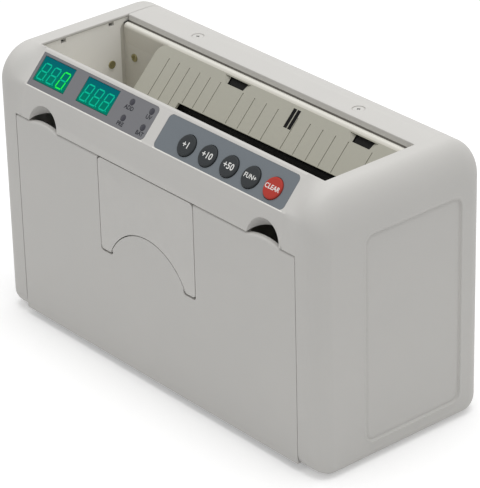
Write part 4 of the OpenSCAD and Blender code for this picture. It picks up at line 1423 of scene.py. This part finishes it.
@dataclass
class ControlPanel:
    """Sloping panel with two printed labels, the lamps and their captions."""

    datum: Datum
    plane: PanelPlane
    edge: float = 0.15
    label_edge: float = 0.06
    lamp_radius: float = 1.5
    lamp_rows: tuple[float, float] = (5.9, 13.9)
    lamp_depth: float = 2.6
    lamp_edge: Point = (0.12, 0.08)
    lamp_dome: float = 0.03
    lamp_steps: int = 24
    caption_height: float = 1.9
    caption_gap: float = 2.9
    caption_thick: float = 0.02
    caption_bold: float = 0.045
    captions: tuple[str, ...] = ("PRE", "ADD", "BAT", "UV")
    wall: float = 2.45
    scoop_spot: float = 75.0
    scoop_ahead: float = 2.4
    scoop_drop: float = 0.5
    scoop_round: Point = (10.4, 11.8)
    scoop_slant: float = 0.5
    fold_edge: Point = (0.08, 0.6)
    fold_height: Point = (-0.1, 0.01)

    def build(self, shop: Workshop) -> None:
        """Builds the panel, its labels and the captions.

        Args:
            shop: Where the pieces go.
        """
        end = self.datum.panel_end
        shop.soften("control_panel", CASING, self.edge, flush=end, prepare=self._open_scoops)
        self._fold_line(shop)
        shop.soften("display_label", LABEL_LEFT, self.label_edge, steps=1)
        shop.soften("keypad_label", LABEL_RIGHT, self.label_edge, steps=1)
        self._lamps(shop)

    def _open_scoops(self, shell: Shell) -> None:
        """Opens both finger cups into the case."""
        for side in Side:
            self._open_scoop(shell, side.value * self.scoop_spot)

    def _open_scoop(self, shell: Shell, middle: float) -> None:
        """Cuts a finger cup open, and the rim that stays behind the lip under it.

        Args:
            shell: Mesh of the panel.
            middle: Middle of the cup along X.
        """
        d = self.datum
        hinge = Vector((0.0, d.front, d.lip)) * MM
        behind = Vector((0.0, d.front + self.wall, d.lip)) * MM
        up = Vector((0.0, -self.scoop_slant, 1.0)).normalized()
        centre = Vector((middle, d.front - self.scoop_ahead, d.lip - self.scoop_drop))
        inner, outer = self.scoop_round

        def in_cup(face: bmesh.types.BMFace) -> bool:
            """Says whether a face belongs to the cup's wall."""
            return all(inner < (v.co / MM - centre).length < outer for v in face.verts)

        def under_cup(point: Vector) -> bool:
            """Says whether a point lies behind the lip under the cup."""
            return point.y > behind.y and abs(point.x - middle * MM) < outer * MM

        def on_rim(face: bmesh.types.BMFace) -> bool:
            """Says whether a face lies in the lip's plane and reaches under the cup."""
            level = all(abs(v.co.z - behind.z) < TOUCH * MM for v in face.verts)
            return level and any(under_cup(v.co) for v in face.verts)

        shell.cut_away(in_cup, hinge, up)
        shell.cut_away(on_rim, behind, Vector((0.0, -1.0, 0.0)))

    def _fold_line(self, shop: Workshop) -> None:
        """Adds the pale line along the fold under the labels, which is a painted highlight of the
        fold's edge.

        Args:
            shop: Where the piece goes.
        """
        line = Shell()
        for node in ("display_label", "keypad_label"):
            left, right = (corner.x for corner in measure(node))
            outline = boxed((left, self.fold_edge[0]), (right, self.fold_edge[1]))
            line.prism(outline, *self.fold_height, self.plane.at)
        shop.add("panel_fold_line", line, FOLD_HIGHLIGHT, Body.HOUSING, "casing")

    def _lamps(self, shop: Workshop) -> None:
        """Builds the lamp lenses and the captions under them.

        Args:
            shop: Where the pieces go.
        """
        low, high = measure("indicator_leds")
        lens, words = Shell(), Shell()
        r, depth = self.lamp_radius, self.lamp_depth
        inset, drop = self.lamp_edge
        profile = [(AXIS, -depth), (r, -depth), (r, -drop), (r - inset, 0.0), (AXIS, self.lamp_dome)]
        spots = [(u, v) for u in (low.x + r, high.x - r) for v in self.lamp_rows]
        for (u, v), caption in zip(spots, self.captions):
            lens.lathe(profile, (u, v), self.plane.at, self.lamp_steps)
            place = self.plane.place(u, v - self.caption_gap)
            words.letters(caption, self.caption_height, place, self.caption_thick, self.caption_bold)
        shop.add("lamp_lenses", lens, LAMP, Body.HOUSING, "lamp_plastic", ["indicator_leds"])
        shop.add("lamp_captions", words, CAPTION, Body.HOUSING, "display_label")


@dataclass
class DigitDisplay:
    """Three digits behind a tinted filter."""

    node: str
    plane: PanelPlane
    digits: tuple[Digit, Digit, Digit]
    lower: Colour = srgb(0, 118, 98)
    upper: Colour = srgb(0, 96, 108)
    band: float = 6.5
    edge: float = 0.05
    digit_width: float = 4.2
    digit_height: float = 7.9
    bar: float = 0.68
    gap: float = 0.12
    pitch: float = 6.9
    lean: float = 0.16
    lower_edge: float = 3.7
    low_margin: float = 1.2
    face: float = -0.1
    relief: float = 0.04
    dot_rise: float = 0.1
    dot_sides: int = 12

    def build(self, shop: Workshop) -> None:
        """Builds the filter and its segments.

        Args:
            shop: Where the pieces go.
        """
        low, high = measure(self.node)
        shop.soften(self.node, self._filter(high.z), self.edge, steps=1)
        middle = (low.x + high.x) / 2
        shells = {UNLIT_GLOW: Shell(), LIT: Shell()}
        base = self.lower_edge + self.low_margin
        span = (self.face - TOUCH, self.face + self.relief)
        spot = (self.digit_width / 2 + self.bar, self.dot_rise)
        dot = arc(spot, self.bar / 2, 0.0, 4 * QUARTER, self.dot_sides)[:-1]
        for k, digit in enumerate(self.digits):
            place = self.plane.place(middle + (k - 1) * self.pitch - self.bar, base)
            for label, outline in self._segments().items():
                shells[LIT if label in digit.value else UNLIT_GLOW].prism(outline, *span, place)
            shells[UNLIT_GLOW].prism(dot, *span, place)
        for finish, shell in shells.items():
            if shell.mesh.verts:
                shop.add(f"{self.node}_{finish.name}", shell, finish, Body.HOUSING, "display_green")
            else:
                shell.mesh.free()

    def _filter(self, top: float) -> FadedPlastic:
        """Finish of the filter, which is bluer towards its upper edge.

        Args:
            top: Height of the upper edge.

        Returns:
            The finish.
        """
        return FadedPlastic(
            "digit_filter",
            self.lower,
            self.upper,
            low_z=top - self.band,
            high_z=top,
            roughness=0.28,
            grain=3000.0,
            spread=0.05,
            depth=0.0,
            gloss=0.02,
            # Painted glow: the filter gives no light of its own.
            glow=0.12,
        )

    def _segments(self) -> dict[str, list[Point]]:
        """Outlines of the seven segments, leaning to the right.

        Returns:
            Each segment's outline by its letter.
        """
        half, height, bar = self.digit_width / 2, self.digit_height, self.bar / 2
        middle = height / 2

        def beam(start: Point, end: Point) -> list[Point]:
            """Pointed bar between two points.

            Args:
                start: First point.
                end: Last point.

            Returns:
                Outline of the bar.
            """
            first, last = Vector(start), Vector(end)
            way = (last - first).normalized()
            side = Vector((-way.y, way.x)) * bar
            a, b = first + way * self.gap, last - way * self.gap
            near, far = a + way * bar, b - way * bar
            points = [a, near - side, far - side, b, far + side, near + side]
            return [(p.x + p.y * self.lean, p.y) for p in points]

        return {
            "a": beam((-half, height), (half, height)),
            "b": beam((half, middle), (half, height)),
            "c": beam((half, 0.0), (half, middle)),
            "d": beam((-half, 0.0), (half, 0.0)),
            "e": beam((-half, 0.0), (-half, middle)),
            "f": beam((-half, middle), (-half, height)),
            "g": beam((-half, middle), (half, middle)),
        }


@dataclass
class Key:
    """One round key with a raised legend."""

    node: str
    body: Body
    legend: str
    finish: Finish
    slot: str
    plane: PanelPlane
    radius: float = 5.0
    rise: float = 0.8
    depth: float = 2.4
    crown: tuple[Point, ...] = ((0.0, 0.55), (0.06, 0.3), (0.22, 0.12), (0.5, 0.02), (1.2, 0.0))
    row: float = 7.4
    letter: float = 2.9
    small_letter: float = 2.1
    short_legend: int = 3
    legend_sink: float = 0.005

    def build(self, shop: Workshop) -> None:
        """Builds the cap and its legend.

        Args:
            shop: Where the pieces go.
        """
        low, high = measure(self.node)
        u = (low.x + high.x) / 2
        r, top = self.radius, self.rise
        turn = [(r - inset, top - drop) for inset, drop in self.crown]
        profile = [(AXIS, -self.depth), (r, -self.depth), *turn, (r / 2, top), (AXIS, top)]
        cap, words = Shell(), Shell()
        cap.lathe(profile, (u, self.row), self.plane.at)
        shop.add(self.node + "_cap", cap, self.finish, self.body, self.slot, [self.node])
        size = self.letter if len(self.legend) <= self.short_legend else self.small_letter
        words.letters(self.legend, size, self.plane.place(u, self.row, top - self.legend_sink))
        shop.add(self.node + "_legend", words, LEGEND, self.body, self.slot)


@dataclass
class Hopper:
    """Ribbed feed plate with a rolled top edge, the side pocket and the black bar below."""

    datum: Datum
    tilt: float = 46.0
    top_ahead: float = 2.4
    top_drop: float = 4.26
    thickness: float = 1.2
    wall_lap: float = 0.5
    pocket_width: float = 27.5
    ear_width: float = 29.5
    ear_length: float = 31.0
    length_left: float = 22.2
    length_right: float = 21.2
    seam: float = 0.9
    corner_round: float = 5.0
    corner_steps: int = 8
    roll: float = 2.0
    roll_end: float = 80.0
    roll_steps: int = 20
    rail_thick: float = 0.8
    rail_lap: float = 1.2
    rail_highlight: Colour = srgb(228, 226, 218)
    rail_fade: Point = (-0.6, 0.4)
    apron: float = 8.0
    apron_back: float = 0.82
    backing_ahead: float = 0.1
    backing_thick: float = 1.0
    backing_high: float = 3.0
    backing_drop: float = 2.95
    roller_spots: tuple[float, float] = (-13.4, 68.4)
    notch_top: float = -1.5
    notch_low: float = -5.2
    notch_wide: float = 9.0
    notch_narrow: float = 5.8
    groove: float = 0.55
    groove_deep: float = 0.35
    groove_top: float = -5.8
    groove_end: float = 0.4
    groove_rows: tuple[tuple[float, float, int], ...] = (
        (-21.9, -7.2, 6), (-6.6, 7.8, 4), (29.6, 8.1, 5), (76.6, 7.8, 3),
    )
    slot_spot: float = 26.8
    slot_half: float = 2.35
    slot_bar: float = 0.22
    slot_low: float = -12.0
    slot_top: float = -2.5
    insert_gap: float = 0.05
    insert_sink: float = 0.15
    insert_deep: float = 1.5
    liner_edge: float = 0.25
    bar_edge: float = 0.2

    def build(self, shop: Workshop) -> None:
        """Builds the visible hopper pieces.

        Args:
            shop: Where the pieces go.
        """
        sheet, rail, backing, insert = Shell(), Shell(), Shell(), Shell()
        self._sheet(sheet)
        # The sheet's darker grey is partly painted shade of the hopper.
        shop.add("feed_plate_sheet", sheet, PLATE, Body.HOUSING, "plate_plastic", ["feed_plate"])
        self._rail(rail)
        # The rail fades from the pocket grey to a paler grey over the roll's crest: a painted highlight
        # where the roll faces up.
        heights = [self.at(0.0, 0.0, 0.0).z + shift for shift in self.rail_fade]
        finish = FadedPlastic("rail_painted_highlight", POCKET.colour, self.rail_highlight, *heights)
        shop.add("feed_plate_rail", rail, finish, Body.HOUSING, "plate_plastic")
        self._backing(backing)
        shop.add("feed_plate_backing", backing, SHADE, Body.HOUSING, "plate_plastic")
        for outline in self._slot_halves(self.insert_gap):
            insert.prism(outline, -self.thickness - self.insert_deep, -self.insert_sink, self.at)
        stands_for = ["hopper_sensor"]
        shop.add("hopper_sensor_insert", insert, BLACK, Body.HOUSING, "black_plastic", stands_for)
        shop.soften("pocket_liner", POCKET, self.liner_edge)
        shop.soften("sensor_bar", BLACK, self.bar_edge)

    def at(self, u: float, v: float, w: float) -> Vector:
        """Point on or over the plate.

        Args:
            u: Place along the plate.
            v: Place up its slope, from the start of the rolled edge.
            w: Height over its face.

        Returns:
            The point in millimetres.
        """
        c, s = math.cos(math.radians(self.tilt)), math.sin(math.radians(self.tilt))
        y, z = self.datum.strip - self.top_ahead, self.datum.top - self.top_drop
        return Vector((u, y + v * c - w * s, z + v * s + w * c))

    @property
    def left(self) -> float:
        """Left edge of the plate, beside the pocket."""
        return self.pocket_width - self.datum.inner_x

    @property
    def right(self) -> float:
        """Right edge of the plate, at the wall."""
        return self.datum.inner_x + self.wall_lap

    def _sheet(self, shell: Shell) -> None:
        """Adds the flat sheet with its grooves, roller notches and twin slot.

        Args:
            shell: Mesh that takes the sheet.
        """
        ear = self.left + self.ear_width
        r = self.corner_round
        outline = [
            (self.left, -self.ear_length), (ear, -self.ear_length), (ear, -self.length_left),
            (self.right, -self.length_right), (self.right, -self.seam),
            *arc((self.left + r, -self.seam - r), r, QUARTER, 2 * QUARTER, self.corner_steps),
        ]
        upper_rings, lower_rings = [], []
        for upper, lower in [(outline, outline), *self._openings()]:
            upper_rings.append(shell.ring(self.at(u, v, 0.0) for u, v in upper))
            lower_rings.append(shell.ring(self.at(u, v, -self.thickness) for u, v in lower))
            shell.bridge(upper_rings[-1], lower_rings[-1])
        for outline in self._grooves():
            upper_rings.append(shell.ring(self.at(u, v, 0.0) for u, v in outline))
            bed = shell.ring(self.at(u, v, -self.groove_deep) for u, v in outline)
            shell.bridge(upper_rings[-1], bed)
            shell.cap(bed)
        shell.fill(*upper_rings)
        shell.fill(*lower_rings)

    def _openings(self) -> list[tuple[list[Point], list[Point]]]:
        """Openings through the sheet.

        Returns:
            The upper and the lower outline of each roller notch and of the twin slot's halves.
        """
        found = []
        wide, narrow = self.notch_wide, self.notch_narrow
        low, top = self.notch_low, self.notch_top
        for spot in self.roller_spots:
            lower = boxed((spot - narrow, low), (spot + narrow, top))
            found.append(([*lower[:2], (spot + wide, top), (spot - wide, top)], lower))
        return found + [(outline, outline) for outline in self._slot_halves(0.0)]

    def _slot_halves(self, gap: float) -> list[list[Point]]:
        """Outlines of the two halves of the twin slot.

        Args:
            gap: How far the outlines are set in.

        Returns:
            One outline for each half.
        """
        found = []
        for side in Side:
            ends = ((self.slot_bar + gap) * side.value, (self.slot_half - gap) * side.value)
            near, far = (self.slot_spot + end for end in sorted(ends))
            found.append(boxed((near, self.slot_low + gap), (far, self.slot_top - gap)))
        return found

    def _grooves(self) -> list[list[Point]]:
        """Outlines of the fine grooves, which end near the sheet's lower edge.

        Returns:
            One outline for each groove.
        """
        ear, half = self.left + self.ear_width, self.groove / 2
        found = []
        for u in (first + pitch * k for first, pitch, count in self.groove_rows for k in range(count)):
            share = (u - ear) / (self.right - ear)
            edge = -self.length_left + (self.length_left - self.length_right) * share
            low = (edge if u >= ear else -self.ear_length) + self.groove_end
            found.append(boxed((u - half, low), (u + half, self.groove_top)))
        return found

    def _rail(self, shell: Shell) -> None:
        """Adds the rolled top edge, which becomes the pocket's upright wall on the left.

        Args:
            shell: Mesh that takes the rail.
        """
        c, s = math.cos(math.radians(self.tilt)), math.sin(math.radians(self.tilt))
        skirt = Vector((-s, -c)) * self.apron + Vector((c, -s)) * self.apron_back
        end, corner = self.datum.panel_end, self.corner_round
        lap = -self.seam - TOUCH
        radii = (self.roll, self.roll - self.rail_thick)
        wall = [self._roll(radius, self.tilt - 90.0) for radius in radii]
        edge = [self._roll(radius, 0.0) for radius in radii]
        outer, inner = ([tuple(Vector(path[0]) + skirt), *path] for path in wall)
        self._extrude(shell, outer + inner[::-1], -end, self.left + self.rail_lap * corner)
        outer, inner = [(lap, 0.0), *edge[0]], [(lap, -self.rail_thick), *edge[1]]
        self._extrude(shell, outer + inner[::-1], self.left + corner, end)

    def _extrude(self, shell: Shell, outline: list[Point], first: float, last: float) -> None:
        """Adds a prism that runs along the plate, from an outline of (v, w) points."""
        shell.prism(outline, first, last, lambda v, w, u: self.at(u, v, w))

    def _roll(self, radius: float, start: float) -> list[Point]:
        """Points round the rolled edge.

        Args:
            radius: Radius about the roll's axis.
            start: First angle in degrees, zero where the sheet meets it.

        Returns:
            The points as (v, w).
        """
        first, last = math.radians(90.0 - start), math.radians(90.0 - self.roll_end)
        return arc((0.0, -self.roll), radius, first, last, self.roll_steps)

    def _backing(self, shell: Shell) -> None:
        """Adds the strip that closes the slit between the roll and the rear cover, in a dark grey that
        is painted shade of the slit.

        Args:
            shell: Mesh that takes the strip.
        """
        front, top = self.datum.strip - self.backing_ahead, self.datum.top - self.backing_drop
        outline = boxed((front, top - self.backing_high), (front + self.backing_thick, top))
        shell.prism(outline, -self.datum.panel_end, self.datum.panel_end, endways)


@dataclass
class RearCover:
    """Rear cover with its top strip, battery door, power inlet and switch."""

    datum: Datum
    edge: float = 0.3
    strip_edge: float = 0.45
    jack_edge: float = 0.25
    rocker_edge: float = 0.35
    head_round: float = 2.75
    head_top: float = 131.8
    head_edge: float = 0.2
    cross_reach: float = 0.95
    cross_half: float = 0.2
    cross_height: Point = (-0.3, 0.01)

    def build(self, shop: Workshop) -> None:
        """Builds the cover and what sits in it.

        Args:
            shop: Where the pieces go.
        """
        strip = (self.strip_edge, self._on_strip)
        shop.soften("rear_cover", CASING, self.edge, flush=self.datum.panel_end, first=strip)
        shop.soften("battery_door", CASING, self.edge)
        self._screws(shop)
        shop.soften("dc_jack", BLACK, self.jack_edge)
        shop.soften("power_switch_body", BLACK, self.edge)
        shop.soften("power_rocker", BLACK, self.rocker_edge)

    def _screws(self, shop: Workshop) -> None:
        """Builds the two painted screws of the top strip and the black crosses that paint the shade of
        their cross slots.

        Args:
            shop: Where the pieces go.
        """
        low, high = measure("rear_cover_screws")
        heads, slots = Shell(), Shell()
        r, top, edge = self.head_round, self.head_top, self.head_edge
        profile = [(AXIS, low.z), (r, low.z), (r, top - edge), (r - edge, top), (AXIS, top)]
        span = [top + height for height in self.cross_height]
        half, y = (high.y - low.y) / 2, (low.y + high.y) / 2
        for x in (low.x + half, high.x - half):
            heads.lathe(profile, (x, y), upright)
            # Black crosses: painted shade of the screws' cross slots.
            for a, b in ((self.cross_reach, self.cross_half), (self.cross_half, self.cross_reach)):
                slots.prism(boxed((x - a, y - b), (x + a, y + b)), *span, upright)
        shop.add("strip_screw_heads", heads, CASING, Body.HOUSING, "screw_steel", ["rear_cover_screws"])
        shop.add("strip_screw_slot_shade", slots, BLACK, Body.HOUSING, "screw_steel")

    def _on_strip(self, point: Vector) -> bool:
        """Says whether a point lies on the front edge of the top strip."""
        return abs(point.y - self.datum.strip) < TOUCH and abs(point.z - self.datum.top) < TOUCH


@dataclass
class FrontDoor:
    """Fold-down door with its finger flap."""

    edge: float = 0.2
    grip_share: float = 0.75
    top_round: float = 1.1
    reach: float = 0.3
    lobe_round: float = 2.8
    lobe_reach: float = 0.8
    lobe_steps: int = 6

    def build(self, shop: Workshop) -> None:
        """Builds the door, the flap and the hinge pins.

        Args:
            shop: Where the pieces go.
        """
        low, high = measure("door_flap")

        def on_top_edge(point: Vector) -> bool:
            """Says whether a point lies on the upper front edge of the door or the flap."""
            return point.y < low.y + self.edge and point.z > high.z - self.reach

        upper = (self.top_round, on_top_edge)
        shop.soften("front_door", CASING, self.edge, first=upper, prepare=self._shape_door)
        shop.soften("door_flap", CASING, self.edge, first=upper, prepare=self._round_lobes)
        shop.dress(STEEL, "door_hinge_pins")

    def _round_lobes(self, shell: Shell) -> None:
        """Rounds the lower corners of the flap's lobes, or of the cutout that holds them.

        Args:
            shell: Mesh of the flap or the door.
        """
        low, high = measure("door_flap")
        corners = []
        for edge in shell.mesh.edges:
            ends = [vertex.co / MM for vertex in edge.verts]
            across = abs(ends[0].y - ends[1].y) > self.lobe_reach
            near = all(abs(end.z - low.z) < self.lobe_reach for end in ends)
            if across and near and low.x - self.lobe_reach < ends[0].x < high.x + self.lobe_reach:
                corners.append(edge)
        shell.bevel(corners, self.lobe_round, self.lobe_steps)

    def _shape_door(self, shell: Shell) -> None:
        """Rounds the flap's cutout and flattens the grip tabs, which stand over the door's top edge.

        Args:
            shell: Mesh of the door.
        """
        self._round_lobes(shell)
        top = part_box("door_flap")[1].z
        for vertex in shell.mesh.verts:
            rise = max(0.0, vertex.co.z - top)
            vertex.co.z -= (1.0 - self.grip_share) * rise


@dataclass
class Transport:
    """Rollers, shafts, belts and plates behind the hopper and the door."""

    edge: float = 0.25

    def build(self, shop: Workshop) -> None:
        """Dresses the mechanism.

        Args:
            shop: Where the pieces go.
        """
        shop.soften("front_note_guide", POCKET, self.edge)
        shop.soften("stacker_back_plate", GUIDE, self.edge)
        shop.dress(RUBBER, "pick_rollers", "feed_rollers", "transport_rollers", "retard_rollers")
        shop.dress(IVORY, "feed_pulley", "pick_pulley", "transport_pulley", "motor_pulley")
        shop.dress(IVORY, "pinch_rollers")
        shop.dress(BELT, "pick_belt", "transport_belt", "motor_belt")
        shop.dress(STEEL, "feed_shaft", "pick_shaft", "transport_shaft", "roller_pins")
        shop.dress(STEEL, "left_bearing_plate", "right_bearing_plate", "top_crossbar", "motor_body")
        shop.dress(BRONZE, "shaft_bushes")


@dataclass
class Base:
    """Base plate, feet, boards and the battery tray."""

    edge: float = 0.3
    foot_edge: float = 0.6

    def build(self, shop: Workshop) -> None:
        """Dresses the lower pieces and the electronics.

        Args:
            shop: Where the pieces go.
        """
        shop.soften("base_plate", BASE, self.edge)
        shop.soften("rubber_feet", RUBBER, self.foot_edge, steps=3)
        shop.dress(BASE, "battery_tray")
        shop.dress(WRAP, "battery_cells")
        shop.dress(STEEL, "battery_contacts")
        shop.dress(BOARD, "control_board", "main_board")
        shop.dress(BLACK, "key_switches")


@dataclass(frozen=True)
class Softbox:
    """One rectangular studio lamp that faces a point."""

    name: str
    place: Spot
    width: float
    depth: float
    power: float
    target: Spot = (0.0, 0.0, 0.06)

    def build(self) -> None:
        """Puts the lamp into the scene."""
        light = bpy.data.lights.new(self.name, "AREA")
        light.shape = "RECTANGLE"
        light.size, light.size_y = self.width, self.depth
        light.energy = self.power
        lamp = put(self.name, light)
        lamp.location = self.place
        way = Vector(self.target) - Vector(self.place)
        lamp.rotation_euler = way.to_track_quat("-Z", "Y").to_euler()


@dataclass
class Studio:
    """White floor, a soft lamp, a pale world and the camera."""

    floor_size: float = 12.0
    floor_colour: Colour = (0.86, 0.86, 0.86)
    floor_lift: Colour = (0.3, 0.3, 0.3)
    world_light: float = 0.55
    lamp: Softbox = Softbox("top_softbox", (0.05, 0.05, 1.2), 0.9, 0.9, 7.5)
    eye: Spot = (893.9, -741.04, 658.23)
    azimuth: float = 50.21
    elevation: float = 27.42
    roll: float = -1.47
    focal_length: float = 216.55
    sensor: float = 36.0
    clip: Point = (0.01, 50.0)

    def build(self) -> None:
        """Builds the stage and the camera."""
        self._floor()
        self._world()
        self.lamp.build()
        self._camera()
        bpy.context.scene.view_settings.view_transform = "Standard"

    @staticmethod
    def _seen(wiring: Wiring) -> bpy.types.NodeSocket:
        """Adds a mask that is 1 for camera, glossy and transmission rays.

        Args:
            wiring: Tree that takes the nodes.

        Returns:
            The mask.
        """
        path = wiring.node("LightPath").outputs
        mask = path["Is Camera Ray"]
        for label in ("Is Glossy Ray", "Is Transmission Ray"):
            mask = wiring.maths("MAXIMUM", mask, path[label])
        return mask

    def _floor(self) -> None:
        """Adds the floor, which looks white to the camera and still takes the shadow."""
        shell = Shell()
        half = self.floor_size / 2 / MM
        corners = boxed((-half, -half), (half, half))
        shell.cap(shell.ring(upright(x, y, 0.0) for x, y in corners))
        floor = shell.piece("floor")
        desk = Desk("floor_white")
        desk.set(Base_Color=self.floor_colour, Roughness=0.9, Specular_IOR_Level=0.1)
        desk.set(Emission_Color=self.floor_lift, Emission_Strength=self._seen(desk))
        floor.data.materials.append(desk.material)

    def _world(self) -> None:
        """Sets a pale even sky that is white to the camera and to reflections."""
        world = bpy.data.worlds.new("studio")
        bpy.context.scene.world = world
        world.use_nodes = True
        wiring = Wiring(world.node_tree)
        wiring.tree.nodes.clear()
        sky = wiring.node("Background", {"Color": WHITE, "Strength": self.world_light})
        white = wiring.node("Background", {"Color": WHITE})
        skies = {1: sky.outputs["Background"], 2: white.outputs["Background"]}
        mix = wiring.node("MixShader", {"Fac": self._seen(wiring), **skies})
        wiring.node("OutputWorld", {"Surface": mix.outputs["Shader"]})

    def _camera(self) -> None:
        """Adds the camera at the photograph's angle."""
        az, el, roll = (math.radians(a) for a in (self.azimuth, self.elevation, self.roll))
        back = Vector((math.sin(az) * math.cos(el), -math.cos(az) * math.cos(el), math.sin(el)))
        right = Vector((0.0, 0.0, 1.0)).cross(back).normalized()
        up = back.cross(right)
        across = right * math.cos(roll) + up * math.sin(roll)
        upward = up * math.cos(roll) - right * math.sin(roll)
        lens = bpy.data.cameras.new("photo_camera")
        lens.sensor_width = self.sensor
        lens.lens = self.focal_length
        lens.clip_start, lens.clip_end = self.clip
        camera = put("photo_camera", lens)
        turn = Matrix((across, upward, back)).transposed().to_4x4()
        camera.matrix_world = Matrix.Translation(Vector(self.eye) * MM) @ turn
        bpy.context.scene.camera = camera


def main() -> None:
    """Builds the studio and every sub-assembly."""
    logging.basicConfig(level=logging.INFO, format="%(name)s: %(message)s")
    Studio().build()
    shop = Workshop()
    datum = Datum.read()
    plane = PanelPlane(datum)
    for side in Side:
        EndCasing(datum, plane, side).build(shop)
    SideWalls().build(shop)
    ControlPanel(datum, plane).build(shop)
    DigitDisplay("count_display", plane, (Digit.UNLIT, Digit.UNLIT, Digit.ZERO)).build(shop)
    DigitDisplay("preset_display", plane, (Digit.UNLIT, Digit.UNLIT, Digit.UNLIT)).build(shop)
    keys = (
        ("button_add_one", Body.KEY_ADD_ONE, "+1"),
        ("button_add_ten", Body.KEY_ADD_TEN, "+10"),
        ("button_add_fifty", Body.KEY_ADD_FIFTY, "+50"),
        ("button_function", Body.KEY_FUNCTION, "FUN+"),
    )
    for node, body, legend in keys:
        Key(node, body, legend, KEY_DARK, "key_dark", plane).build(shop)
    Key("button_clear", Body.KEY_CLEAR, "CLEAR", KEY_RED, "key_red", plane).build(shop)
    Hopper(datum).build(shop)
    RearCover(datum).build(shop)
    FrontDoor().build(shop)
    Transport().build(shop)
    Base().build(shop)
    LOG.info("%d pieces made", len(shop.made))


if __name__ == "__main__":
    main()
